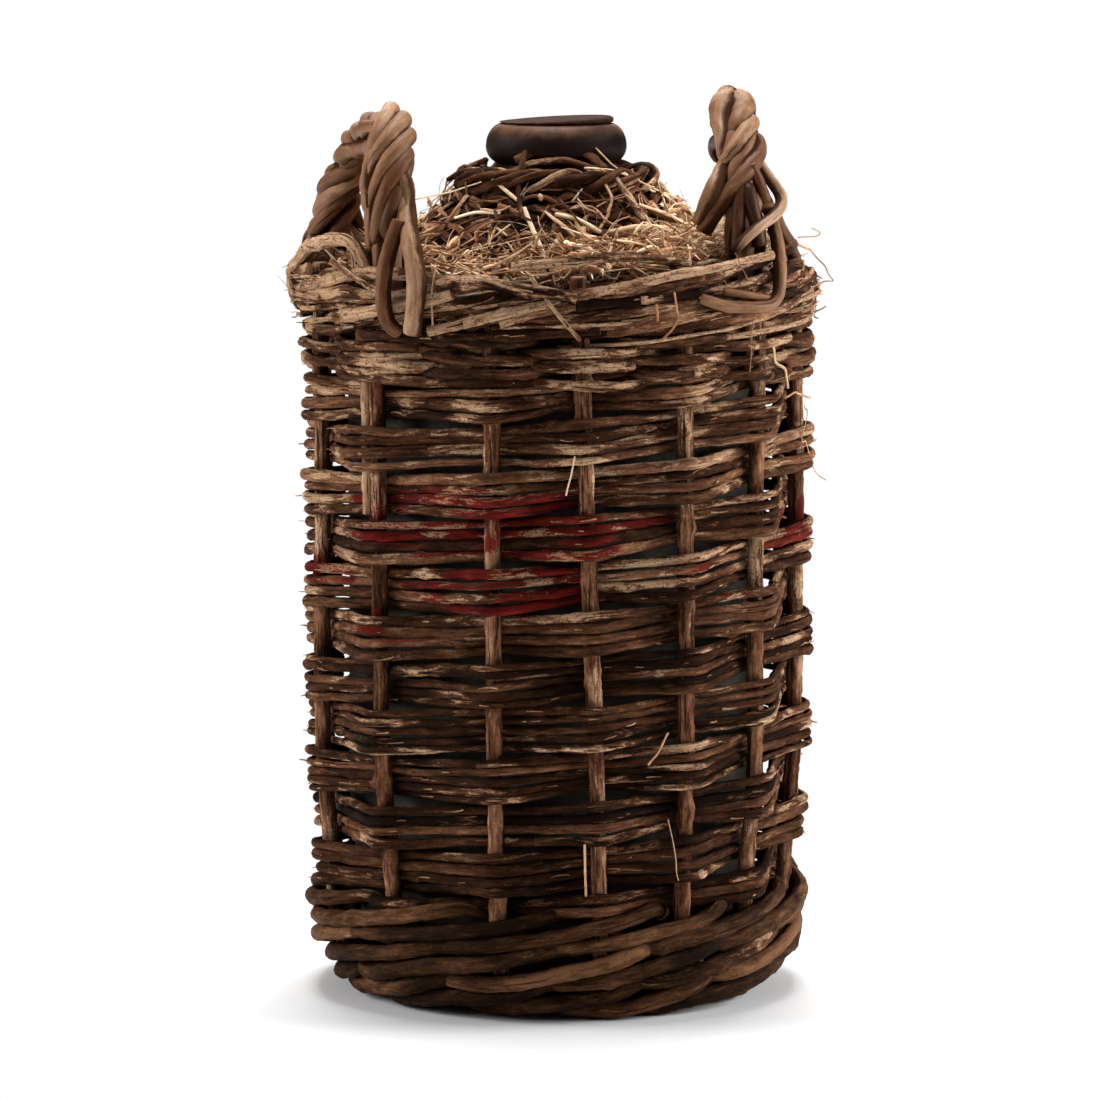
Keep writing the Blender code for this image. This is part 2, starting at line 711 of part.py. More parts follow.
def cover_length():
    """How far the cover runs up the shoulder, from its start to the collar's lower edge."""
    start = math.radians(COVER_START_DEG)
    bent = JAR_SHOULDER_BEND * (math.radians(JAR_CONE_DEG) - start)
    radius, height = collar_centre()
    end_radius, end_height = shoulder_end()
    along = ((end_radius - radius) + (height - end_height)) * math.cos(math.radians(JAR_CONE_DEG))
    return bent + along - COLLAR_R - GAP


def make_cover(finish):
    """Rows of twigs woven round the shoulder, each a little proud at every other rib."""
    row_length = cover_length() / COVER_ROWS
    thick = COVER_THICKNESS

    for row in range(COVER_ROWS):
        low = row * row_length + GAP / 2
        high = (row + 1) * row_length - GAP / 2
        middle = (low + high) / 2
        quarter = (high - low) / 4
        outline = [
            cover_line(low, 2 * GAP),
            cover_line(low, thick - COVER_WAVE),
            cover_line(middle - quarter, thick),
            cover_line(middle + quarter, thick),
            cover_line(high, thick - COVER_WAVE),
            cover_line(high, 2 * GAP),
        ]

        def wave(place, side, row=row):
            proud = ((side + 2 * row) // 2) % 2 and place in (2, 3)
            return COVER_WAVE if proud else 0

        turned("shoulder_row_%d" % (row + 1), outline, finish, closed=True, wave=wave)


def make_collar(finish):
    """The woven roll round the neck, under the lip."""
    last = 360.0 * (COLLAR_SIDES - 1) / COLLAR_SIDES
    points = arc(collar_centre(), COLLAR_R, 0.0, last, COLLAR_SIDES - 1)

    def wave(place, side):
        return -COVER_WAVE if place == 0 and side % 2 else 0

    return turned("neck_collar", points, finish, closed=True, wave=wave)


def make_packing(finish):
    """The straw pushed in between the shoulder and the border, cut away at the handles' ends."""
    centre = (JAR_RADIUS - JAR_SHOULDER_BEND, JAR_WALL_TOP)
    outer = BORDER_INNER - 2 * GAP
    bend = JAR_SHOULDER_BEND + 2 * GAP
    inner_arc = arc(centre, bend, PACKING_BOTTOM_DEG, COVER_START_DEG, INNER_ARC_STEPS)
    bottom = inner_arc[0]
    top = cover_line(0, COVER_THICKNESS - COVER_WAVE)
    outline = inner_arc[:-1]
    outline += [cover_line(-2 * GAP, 2 * GAP)]
    outline += [(top[0] + 2 * GAP, top[1] - 2 * GAP)]
    outline += [(outer - PACKING_CREST_INSET, PACKING_CREST)]
    outline += [(outer, PACKING_CREST - PACKING_CREST_INSET / 2), (outer, bottom[1])]
    packing = turned("straw_packing", outline, finish, closed=True)
    for handle in HANDLES.values():
        for end in (0, 1):
            notch(packing, bow_angle(handle, end))
    return packing


def notch(packing, foot_deg):
    """Cut room for the two strands that are tucked in at a handle's end."""
    outer = BORDER_INNER + STRAND_R
    inner = TUCK_RADIUS - STRAND_R - 2 * GAP
    wide = math.degrees((STRAND_THICKNESS + 3 * GAP) / TUCK_RADIUS)
    corners = [(outer, -wide), (outer, wide), (inner, wide), (inner, -wide)]
    rings = []
    for height in (TUCK_BOTTOM - GAP, PACKING_CREST + COVER_THICKNESS):
        rings.append([at(radius, foot_deg + turn, height) for radius, turn in corners])
    cutter = loft("notch_at_%d" % round(foot_deg), rings, packing.data.materials[0])
    cutter.hide_render = True
    cutter.display_type = "WIRE"
    cut = packing.modifiers.new(cutter.name, "BOOLEAN")
    cut.operation = "DIFFERENCE"
    cut.solver = "EXACT"
    cut.object = cutter


def main():
    clear_scene()
    stoneware = material("brown_stoneware", (0.075, 0.042, 0.028), 0.35)
    cork = material("old_cork", (0.10, 0.065, 0.045), 0.85)
    willow = material("weathered_willow", (0.19, 0.115, 0.07), 0.8)
    peeled = material("peeled_stakes", (0.30, 0.20, 0.125), 0.75)
    smooth = material("handle_willow", (0.30, 0.175, 0.095), 0.6)
    twigs = material("dark_twigs", (0.12, 0.08, 0.05), 0.85)
    straw = material("dry_straw", (0.50, 0.38, 0.20), 0.8)
    make_jar(stoneware)
    make_bung(cork)
    make_base(willow, peeled)
    make_pad(straw)
    make_stakes(peeled)
    make_wale(smooth)
    make_slews(willow)
    make_border(willow)
    make_side_stake(smooth)
    make_cover(twigs)
    make_collar(twigs)
    make_packing(straw)
    for name, handle in HANDLES.items():
        make_handle(name, handle, smooth, smooth)


main()
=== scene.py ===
"""Looks of a rum flagon: a glazed stoneware jar in a casing of willow rods, packed with straw.

Metres, +Z up. An angle round the axis is in degrees from the front (-Y), towards +X.
"""

import math

import bpy
import numpy as np
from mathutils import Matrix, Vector


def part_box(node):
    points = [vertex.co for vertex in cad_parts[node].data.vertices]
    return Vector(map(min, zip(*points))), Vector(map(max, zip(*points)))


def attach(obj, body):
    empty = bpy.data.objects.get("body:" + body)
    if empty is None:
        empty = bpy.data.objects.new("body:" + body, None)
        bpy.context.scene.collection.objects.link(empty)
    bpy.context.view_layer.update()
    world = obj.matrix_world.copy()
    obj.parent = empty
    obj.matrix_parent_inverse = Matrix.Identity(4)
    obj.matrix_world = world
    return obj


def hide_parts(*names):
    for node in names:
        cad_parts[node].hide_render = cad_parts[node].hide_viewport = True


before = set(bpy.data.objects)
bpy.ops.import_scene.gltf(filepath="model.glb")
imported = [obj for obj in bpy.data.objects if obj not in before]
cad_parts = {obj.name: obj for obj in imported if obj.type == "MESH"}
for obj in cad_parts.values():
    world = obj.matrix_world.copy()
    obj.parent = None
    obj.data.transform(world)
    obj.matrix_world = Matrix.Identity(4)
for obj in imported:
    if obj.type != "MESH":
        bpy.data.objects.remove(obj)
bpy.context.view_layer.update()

MM = 0.001
TAU = math.tau
UP = np.array((0, 0, 1.0))

# Stakes and the foot's bend, as the CAD part has them
STAKE_COUNT = 14
STAKE_R = 3.8 * MM
LEAN_TOP = 120 * MM
LEAN = math.radians(4.6)
FOOT_BEND = 28 * MM
FOOT_RISE = 8.4 * MM
FOOT_START = math.radians(57.0)
FOOT_END = math.radians(68.0)
LEAN_MIDDLE = 180 * MM
FOOT_LEAN_DEG = (0.0, 1.5, 0.6, 3.4, 0.8, -0.5, 0.4, -1.2, 1.5, -0.8, 0.6, 1.4, -1.0, 0.5)

# Slews, the bands of thin rods: two strands wind up side by side, as pieces cut behind some stakes
SLEW_PITCH = 44.6 * MM
SLEW_LEVEL = 95.3 * MM
SLEW_JOIN_STAKE = 10
SLEW_R = 2.50 * MM
SLEW_CLOSE = 0.88
SLEW_LEAST_DEG = 200.0
SLEW_STAKES = range(-4 * STAKE_COUNT, 6 * STAKE_COUNT)

# Wale, the thick rods at the foot, and the CAD part's rods for which each weaver stands
WALE_R = 4.6 * MM
WALE_START = 9
WALE_ROUNDS = 3
WALE_ROUND = 15.8 * MM
WALE_SLOPE = 9.5 * MM
WALE_LOWEST = 2.95 * MM
WALE_STEPS = 20
WALE_NODES = ((1, 4), (2, 5), (3,))

# Border, the rods that close the rim
BORDER_R = 4.0 * MM
BORDER_NODES = 4
BORDER_STROKES = 58
BORDER_SLIVERS = 48
RING_RODS = 6
RING_ROD_R = 2.4 * MM

# Handles: bows, and strands that wind round them at an orbit, closer in on the side that shows
BOW_R = 3.0 * MM
STRAND_ORBIT = 7.4 * MM
FRONT_ORBIT = 4.0 * MM
DRAWN_ORBIT = 8.0 * MM
STRAND_COUNT = 4
HANDLE_TURNS = -2.5
ROPE_POINTS = 140
SPLIT_RISE = 16 * MM
HANDLE_DEPTH = 22 * MM
HOOK_SPREAD_DEG = 3.2
BORDER_THICK = 8.4 * MM
GAP = 0.3 * MM
# The stakes beside which a bow goes down in front and behind, on which side of each, how far it
# leans in and bends along, how far in degrees its strands stray behind, and the seeds of the bow
# and the first strand
HANDLES = {
    "left": {"stakes": (1, 13), "sides": (1, -1), "lean": 4.5 * MM, "skew": 0.42,
             "swing": -8.0, "seeds": (504, 560)},
    "right": {"stakes": (5, 8), "sides": (-1, -1), "lean": 4 * MM, "skew": 0.12,
              "swing": 0.0, "seeds": (505, 570)},
}

# Jar
JAR_WALL = 8 * MM
JAR_WALL_TOP = 300 * MM
JAR_BEND = 53.6 * MM
LIP_HEIGHT = 20 * MM
LIP_ROLL = 4 * MM
LIP_BEND = 8.5 * MM
LIP_LOWER = 8.6 * MM
LIP_CROWN = 11.2 * MM
MOUTH_R = 24.5 * MM
THROAT_R = 18.3 * MM
NECK_R = 29.5 * MM
NECK_DROP = 2.8 * MM
BUNG_SLANT = 1.4 * MM

# Weave over the shoulder, and the base's star of sticks with the weave round them
SHOULDER_SLOPE = math.radians(45)
COVER_NODES = 5
COVER_OUTER = 93 * MM
COVER_INNER = 47 * MM
COVER_ROWS = 17
COVER_RIBS = 18
COVER_OFF = 4.8 * MM
COVER_WEAVE = 2.3 * MM
COLLAR_RODS = 6
BASE_ARMS = 16
BASE_INNER = 27 * MM
BASE_ROW = 4.3 * MM

# Straw: how many shreds, and where the packing lies
PACKING_STRAWS = 3400
LOOSE_STRAWS = 1350
BED_STRAWS = 500
PACKING_INNER = 77 * MM
PACKING_OUTER = 107.5 * MM
PACKING_TOP = 366 * MM
LOOSE_INNER = 48 * MM
LOOSE_OUTER = 97 * MM

# Rods: their fineness, the bulges' waves round a rod with their spacing in millimetres and share,
# the length of a knot, and the lengths over which peeled patches, tones and coats of paint change
STEP = 2.0 * MM
SIDES = 10
BULGES = ((1, 41, 1.0), (2, 23, 0.8), (3, 13, 0.7), (2, 7, 0.5))
KNOT = 2.6 * MM
PATCH = 22 * MM
SHADE = 30 * MM
COAT = 35 * MM
FLOOR_GAP = 0.1 * MM

# Camera, in metres and for a picture of 1100 x 1100 pixels
PICTURE = 1100
SENSOR = 36.0
LENS = 206.2
CAMERA = Vector((0.0, -3.0, 0.583))
CAMERA_AIM = Vector((-0.003, 0.0, 0.2098))

# Lamps: name, place, width and power
LAMP_AIM = (0.0, 0.0, 0.2)
LAMPS = (
    ("left_window", (-1.9, -0.10, 0.8), 1.0, 35),
    ("right_window", (1.9, 0.0, 0.8), 1.0, 50),
    ("front_panel", (0.0, -1.6, 1.5), 1.2, 4),
    ("top_panel", (0.0, 0.35, 1.9), 1.0, 50),
    ("back_panel", (0.0, 1.8, 1.2), 1.2, 10),
)


def node_points(node):
    """The corners of a CAD node, as rows of x, y and z."""
    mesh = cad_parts[node].data
    flat = np.zeros(len(mesh.vertices) * 3)
    mesh.vertices.foreach_get("co", flat)
    return flat.reshape(-1, 3)


def degrees_of(point):
    """A point's angle round the axis."""
    return math.degrees(math.atan2(point[0], -point[1]))


def stake_tops():
    """The stakes' angles in degrees, each larger than the one before, and their ring's radius."""
    angles, radii = [], []
    for index in range(STAKE_COUNT):
        points = node_points("stake_%02d" % (index + 1))
        top = points[points[:, 2] > points[:, 2].max() - MM].mean(0)
        angle = degrees_of(top)
        while angles and angle < angles[-1]:
            angle += 360.0
        angles.append(angle)
        radii.append(math.hypot(top[0], top[1]))
    return angles, sum(radii) / len(radii)


STAKE_DEG, RING = stake_tops()
STAKE_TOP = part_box("stake_01")[1].z
SLEW_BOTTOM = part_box("slew_a_1")[0].z
SLEW_TOP = max(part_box("slew_a_7")[1].z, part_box("slew_b_6")[1].z)
SIDE_STAKE_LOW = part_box("side_stake")[0].z
BORDER_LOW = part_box("border_rod_1")[0].z
BORDER_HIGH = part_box("border_rod_4")[1].z
FOOT_HEIGHT = FOOT_BEND + FOOT_RISE
FOOT_TOP = FOOT_HEIGHT - FOOT_BEND * math.sin(LEAN)
FOOT_RADIUS = RING - (LEAN_TOP - FOOT_TOP) * math.tan(LEAN) - FOOT_BEND * math.cos(LEAN)
HOLD_DEG = math.degrees(STAKE_R / RING)
COMPANION_DEG = math.degrees((STAKE_R + BOW_R + GAP) / RING)
JAR_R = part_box("stoneware_jar")[1].x
LIP_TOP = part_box("stoneware_jar")[1].z
# Radius and height of a point on the jar's cone-shaped shoulder add up to this
CONE_SUM = LIP_TOP - LIP_HEIGHT - NECK_DROP + NECK_R
# Strokes of red paint: angle and height of the middle, reach in degrees and in metres, strength
PAINT_STROKES = (
    (-18, 0.2365, 38, 0.0175, 1.0),
    (-12, 0.2035, 30, 0.0140, 0.8),
    (-68, 0.2050, 12, 0.0110, 0.8),
    (32, 0.2090, 16, 0.0105, 0.6),
    (74, 0.2265, 20, 0.0120, 0.95),
    (48, 0.2040, 14, 0.0080, 0.85),
    (-42, 0.1855, 16, 0.0080, 0.7),
    (150, 0.2250, 40, 0.0140, 0.55),
    (232, 0.2150, 28, 0.0130, 0.6),
)


def at(radius, degrees, height):
    """Points from their distance to the axis, angle and height."""
    radius = np.asarray(radius, float)
    turn = np.radians(degrees)
    return np.stack(np.broadcast_arrays(radius * np.sin(turn), -radius * np.cos(turn), height), -1)


def stake_deg(index, height=LEAN_MIDDLE):
    """Where a stake stands at a height. The index may run past one turn, either way."""
    turns, place = divmod(index, STAKE_COUNT)
    lean = FOOT_LEAN_DEG[place] * (LEAN_MIDDLE - height) / LEAN_MIDDLE
    return 360.0 * turns + STAKE_DEG[place] + lean


def stake_radius(height):
    return RING - np.maximum(LEAN_TOP - height, 0) * math.tan(LEAN)


def foot_line(length, offset):
    """Radius and height of a point a length up the stakes' line and off it, outwards."""
    bent = FOOT_BEND * (FOOT_START - LEAN)
    turn = np.where(length < bent, FOOT_START - length / FOOT_BEND, LEAN)
    straight = np.maximum(length - bent, 0)
    reach = FOOT_BEND + offset
    radius = FOOT_RADIUS + reach * np.cos(turn) + straight * math.sin(LEAN)
    height = FOOT_HEIGHT - reach * np.sin(turn) + straight * math.cos(LEAN)
    return radius, height


def bow_side(index):
    """On which side of a stake a handle's bow goes down: 1 or -1, and 0 where there is none."""
    place = index % STAKE_COUNT
    for handle in HANDLES.values():
        if place in handle["stakes"]:
            return handle["sides"][handle["stakes"].index(place)]
    return 0


def bow_deg(handle, end):
    """Where a handle's bow goes down, at one of its two ends."""
    return STAKE_DEG[handle["stakes"][end]] + handle["sides"][end] * COMPANION_DEG


def facing(place, aim):
    """The turn of a camera or lamp that looks from a place at another."""
    return (Vector(aim) - Vector(place)).to_track_quat("-Z", "Y")


def sight(pixel):
    """The direction from the camera through a place of the picture."""
    half = PICTURE / 2
    side = (pixel[0] - half) * SENSOR / LENS / PICTURE
    up = (half - pixel[1]) * SENSOR / LENS / PICTURE
    return facing(CAMERA, CAMERA_AIM) @ Vector((side, up, -1.0))


def seen(pixel, radius, rise=0.0):
    """The point at a place of the picture, on a round surface about the axis facing the camera.

    The surface has its radius at the rim's height, and shrinks by rise for each metre above.
    """
    ray = sight(pixel)
    depth = 0.0
    for k in range(12):
        point = CAMERA + ray * ((-depth - CAMERA.y) / ray.y)
        here = max(radius - rise * (point.z - BORDER_HIGH), abs(point.x))
        depth = math.sqrt(max(here * here - point.x * point.x, 0.0))
    return np.array(point)


def seen_on_tube(pixel, line, radius):
    """The point at a place of the picture on a tube round a line, or else the nearest to it."""
    ray = np.array(sight(pixel))
    depths = np.linspace(-0.15, 0.13, 561)
    points = np.array(CAMERA) + ray * ((depths - CAMERA.y) / ray[1])[:, None]
    apart = np.linalg.norm(points[:, None] - line[None], axis=2).min(1)
    inside = np.flatnonzero(apart <= radius)
    return points[inside[0]] if len(inside) else points[apart.argmin()]


def lengths(path):
    """How far along a line each of its points lies."""
    return np.concatenate([[0], np.cumsum(np.linalg.norm(np.diff(path, axis=0), axis=1))])


def unit(vectors):
    return vectors / np.maximum(np.linalg.norm(vectors, axis=-1, keepdims=True), 1e-9)


def outwards(points):
    """Level directions from the axis to points."""
    return unit(points * (1, 1, 0))


def nearest(points, line):
    """For each point, the point of a line that lies nearest to it."""
    return line[np.linalg.norm(points[:, None] - line[None], axis=2).argmin(1)]


def resample(points, spacing=STEP):
    """The same line with points at an even spacing."""
    points = np.asarray(points, float)
    along = lengths(points)
    count = max(int(along[-1] / spacing), 3)
    places = np.linspace(0, along[-1], count + 1)
    return np.stack([np.interp(places, along, points[:, k]) for k in range(3)], 1)


def soften(points, reach, spacing=STEP):
    """Round a line's corners over a reach on each side."""
    points = resample(points, spacing)
    sigma = reach / spacing
    half = min(int(3 * sigma) + 1, len(points) - 1)
    weights = np.exp(-0.5 * (np.arange(-half, half + 1) / sigma) ** 2)
    weights /= weights.sum()
    before = 2 * points[0] - points[half:0:-1]
    after = 2 * points[-1] - points[-2:-half - 2:-1]
    whole = np.concatenate([before, points, after])
    return np.stack([np.convolve(whole[:, k], weights, "valid") for k in range(3)], 1)


def wander(dice, along, spacing, size):
    """Smooth random values of about a size, that change over about a spacing."""
    knots = int((along[-1] - along[0]) / spacing) + 4
    heights = dice.normal(0, size, knots)
    place = (along - along[0]) / spacing
    low = place.astype(int)
    share = place - low
    share = share * share * (3 - 2 * share)
    return heights[low] * (1 - share) + heights[low + 1] * share


def jolt(path, dice, spacing, size, upright=True):
    """Shake a line sideways, up or down and in or out."""
    along = lengths(path)
    moved = path + outwards(path) * wander(dice, along, spacing, size)[:, None]
    if upright:
        moved[:, 2] += wander(dice, along, spacing, size)
    return moved


def paint_at(points):
    """How much red paint was brushed over a place on the casing, from 0 to 1."""
    degrees = np.degrees(np.arctan2(points[:, 0], -points[:, 1]))
    found = np.zeros(len(points))
    for centre, height, wide, tall, strength in PAINT_STROKES:
        away = (degrees - centre + 180.0) % 360.0 - 180.0
        reach = np.sqrt((away / wide) ** 2 + ((points[:, 2] - height) / tall) ** 2)
        found = np.maximum(found, strength * np.clip(1.9 - 1.35 * reach, 0, 1))
    return found


def sideways(points):
    """How far to a side points lie, from 0 in front and behind to 1 at the sides."""
    return np.abs(points[:, 0]) / np.maximum(np.hypot(points[:, 0], points[:, 1]), MM)


def wear_light_and_shade_at(points):
    """More peel towards the rim, as wear; less near the foot, partly painted shade; more on the sides,
    painted light.
    """
    tall = np.clip((points[:, 2] - 190 * MM) / (130 * MM), -1, 1)
    return 0.13 * tall + 0.16 * np.clip(sideways(points) - 0.55, 0, 1)


def add_object(name, data):
    made = bpy.data.objects.new(name, data)
    bpy.context.scene.collection.objects.link(made)
    return made


def add_piece(mesh, coat, body, nodes):
    """Make the piece of a mesh, put it on its body, and hide the CAD nodes that it stands for.

    Its coat is a material and the slot that it fills; the slot is not used.
    """
    material, slot = coat
    mesh.shade_smooth()
    mesh.materials.append(material)
    piece = add_object(mesh.name, mesh)
    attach(piece, body)
    if nodes:
        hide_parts(*nodes)


def tube_faces(first, rows, sides):
    """The numbers of a tube's corners, counted from a first one, and the faces between them."""
    here = first + np.arange(rows * sides).reshape(rows, sides)
    beyond = np.roll(here, -1, axis=1)
    faces = np.stack([here[:-1], beyond[:-1], beyond[1:], here[1:]], -1)
    return here.tolist(), faces.reshape(-1, 4).tolist()


class Bundle:
    """Rods gathered into one mesh, with the values that their material reads."""

    def __init__(self, name, seed):
        self.name = name
        self.dice = np.random.default_rng(seed)
        self.points, self.faces = [], []
        self.values = {key: [] for key in ("grain", "tone", "peel", "face", "paint", "cut")}
        self.count = 0

    def rod(self, path, radius, sides=SIDES, tone=0.5, peel=0.3, patch=0.25, flat=1.0,
            lumps=0.05, rough=0.035, knots=0.0, reference=None, blunt=True):
        """One rod along a line. Its first side faces away from the axis, or along a reference.

        Lumps and roughness are shares of its radius, and knots are so many to a metre.
        """
        dice = self.dice
        path = np.asarray(path, float)
        shape = (len(path), sides)
        ahead = unit(np.gradient(path, axis=0))
        outward = path * (1, 1, 0) if reference is None else np.broadcast_to(reference, path.shape)
        outward = unit(outward - (outward * ahead).sum(1)[:, None] * ahead)
        beside = np.cross(ahead, outward)
        along = lengths(path)
        turns = TAU * np.arange(sides) / sides
        radius = np.broadcast_to(radius, len(path))
        swell = np.zeros(shape)
        for waves, spacing, share in BULGES:
            phase = dice.uniform(0, TAU)
            run = TAU * along / (spacing * MM * dice.uniform(0.8, 1.2))
            swell += share * np.cos(waves * turns + run[:, None] + phase)
        bulk = 1 + lumps * swell + dice.normal(0, rough, shape)
        for knot in range(dice.poisson(knots * along[-1])):
            near = np.exp(-((along - dice.uniform(0, along[-1])) / KNOT) ** 2)[:, None]
            face = np.exp(2.5 * (np.cos(turns - dice.uniform(0, TAU)) - 1))
            bulk += 0.10 * near + dice.uniform(0.15, 0.42) * near * face
        across = (flat * np.cos(turns))[:, None] * outward[:, None]
        across = across + np.sin(turns)[:, None] * beside[:, None]
        rings = path[:, None] + (radius[:, None] * bulk)[..., None] * across
        patches = wander(dice, along, PATCH, patch)[:, None]
        shift = dice.uniform(0, 10)
        typical = float(radius.mean())
        grain = np.stack([np.broadcast_to(part, shape) for part in (
            np.cos(turns) * typical, np.sin(turns) * typical, (along + shift)[:, None])], -1)
        peels = peel + patches + 0.08 * np.cos(turns + dice.uniform(0, TAU))
        face = np.broadcast_to(np.cos(turns), shape)
        tones = np.full(shape, tone) + wander(dice, along, SHADE, 0.07)[:, None]
        coat = dice.uniform(-0.34, 0.16)
        coats = np.full(shape, coat) + wander(dice, along, COAT, 0.16)[:, None]
        self.points.append(rings.reshape(-1, 3))
        tip, brim = (0.12, 0.10) if blunt else (0.5, 0.3)
        for end, way in ((0, -1), (-1, 1)):
            off = way * ahead[end] * radius[end]
            inner = path[end] + (rings[end] - path[end]) * 0.82 + off * brim
            self.points.append(np.concatenate([inner, (path[end] + off * tip)[None]]))
        pad = 2 * (sides + 1)
        ends = np.repeat(grain[[0, -1], 0], sides + 1, axis=0)
        self.values["grain"].append(np.concatenate([grain.reshape(-1, 3), ends]))
        for key, body, rest in (("tone", tones, tone), ("peel", peels, peel), ("face", face, 0.6),
                                ("paint", coats, coat), ("cut", np.zeros(shape), float(blunt))):
            self.values[key].append(np.append(body, np.full(pad, rest)))
        here, faces = tube_faces(self.count, *shape)
        self.faces += faces
        start = self.count + len(path) * sides
        for end, row, turn in ((start, here[0], -1), (start + sides + 1, here[-1], 1)):
            for k in range(sides):
                after = (k + 1) % sides
                wall = [row[k], row[after], end + after, end + k]
                lid = [end + k, end + after, end + sides]
                self.faces += [wall[::turn], lid[::turn]]
        self.count = start + pad

    def build(self, coat, *nodes):
        """Make the piece, painted and worn by where its rods lie, and paler towards the sides as painted
        light.
        """
        points = np.concatenate(self.points)
        points[:, 2] = np.maximum(points[:, 2], FLOOR_GAP)
        mesh = bpy.data.meshes.new(self.name)
        mesh.from_pydata(points.tolist(), [], self.faces)
        values = {key: np.concatenate(rows) for key, rows in self.values.items()}
        painted = paint_at(points)
        values["paint"] = painted + np.where(painted > 0, values["paint"], 0)
        values["paint"] *= np.clip(0.35 + values["face"], 0, 1)
        values["peel"] += wear_light_and_shade_at(points)
        # Painted light: rods other than the handles' get a paler tone towards the flagon's sides
        if coat is not HANDLE_WOOD:
            values["tone"] += 0.35 * np.clip(sideways(points) - 0.62, 0, 0.38)
        for key, rows in values.items():
            kind, field = ("FLOAT_VECTOR", "vector") if key == "grain" else ("FLOAT", "value")
            mesh.attributes.new(key, kind, "POINT").data.foreach_set(field, rows.ravel())
        add_piece(mesh, coat, "flagon", nodes)


class Board:
    """A material's nodes, made by short calls that each give back a socket."""

    def __init__(self, name, roughness):
        self.material = bpy.data.materials.new(name)
        self.material.use_nodes = True
        self.tree = self.material.node_tree
        self.shader = self.tree.nodes["Principled BSDF"]
        self.give("Roughness", roughness)

    def feed(self, socket, value):
        """Link a socket, or set it to a value."""
        if isinstance(value, bpy.types.NodeSocket):
            self.tree.links.new(value, socket)
        else:
            socket.default_value = value

    def give(self, name, value):
        """Feed one of the shader's own inputs."""
        self.feed(self.shader.inputs[name], value)

    def put(self, kind, *values, **named):
        """A new node, its inputs fed by their order or their names."""
        node = self.tree.nodes.new("ShaderNode" + kind)
        for place, value in enumerate(values):
            self.feed(node.inputs[place], value)
        for name, value in named.items():
            self.feed(node.inputs[name.replace("_", " ")], value)
        return node

    def value(self, name):
        """A value that a bundle's rods carry."""
        node = self.put("Attribute")
        node.attribute_name = name
        return node.outputs["Vector" if name == "grain" else "Fac"]

    def place(self):
        return self.put("TexCoord").outputs["Object"]

    def stretch(self, vector, scale):
        """A place with its third number scaled: below 1 draws a pattern out along the grain."""
        return self.put("Mapping", Vector=vector, Scale=(1.0, 1.0, scale)).outputs["Vector"]

    def noise(self, vector, scale, detail=3.0, roughness=0.55, distortion=0.0):
        return self.put("TexNoise", Vector=vector, Scale=scale, Detail=detail, Roughness=roughness,
                        Distortion=distortion).outputs["Fac"]

    def ramp(self, share, stops):
        node = self.put("ValToRGB", share)
        band = node.color_ramp
        while len(band.elements) < len(stops):
            band.elements.new(0.5)
        for element, (place, colour) in zip(band.elements, stops):
            element.position = place
            element.color = (*colour, 1.0)
        return node.outputs["Color"]

    def step(self, share, low, high):
        """A smooth step from 0 to 1 between two values."""
        node = self.put("MapRange", Value=share, From_Min=low, From_Max=high)
        node.interpolation_type = "SMOOTHSTEP"
        return node.outputs["Result"]

    def sum(self, operation, *values):
        node = self.put("Math", *values)
        node.operation = operation
        return node.outputs["Value"]

    def times(self, first, second):
        return self.sum("MULTIPLY", first, second)

    def sway(self, share, size):
        """A noise's value turned into a change about nought, of a size."""
        return self.sum("MULTIPLY_ADD", share, size, -size / 2)

    def total(self, *parts):
        """The sum of several values."""
        whole = parts[0]
        for part in parts[1:]:
            whole = self.sum("ADD", whole, part)
        return whole

    def mix(self, share, first, second):
        """From one colour to another by a share."""
        node = self.put("Mix", share)
        node.data_type = "RGBA"
        inputs = [s for s in node.inputs if s.type == "RGBA"]
        for socket, colour in zip(inputs, (first, second)):
            self.feed(socket, colour if isinstance(colour, bpy.types.NodeSocket) else (*colour, 1.0))
        return [s for s in node.outputs if s.type == "RGBA"][0]

    def bump(self, height, distance):
        """Relief on top of what the shader has already."""
        node = self.put("Bump", Height=height, Distance=distance, Strength=1.0)
        normal = self.shader.inputs["Normal"]
        if normal.is_linked:
            self.feed(node.inputs["Normal"], normal.links[0].from_socket)
        self.feed(normal, node.outputs["Normal"])


def shades(*stops, green=0.37, blue=0.15):
    """Stops of a ramp from places and how red they are: dark browns are the most saturated."""
    return [(place, (red, red * (green + 0.44 * red), red * (blue + 0.42 * red))) for place, red in stops]


RED_PAINT = ((0.30, (0.030, 0.0025, 0.002)), (0.5, (0.090, 0.005, 0.004)), (0.75, (0.19, 0.015, 0.011)))
CUT_WOOD = shades((0.35, 0.12), (0.65, 0.36))
# Painted shade: the near-black that the rods' inner and hidden sides are darkened towards
CREVICE_SHADE = (0.009, 0.004, 0.0025)
CRACK = (0.012, 0.0055, 0.003)


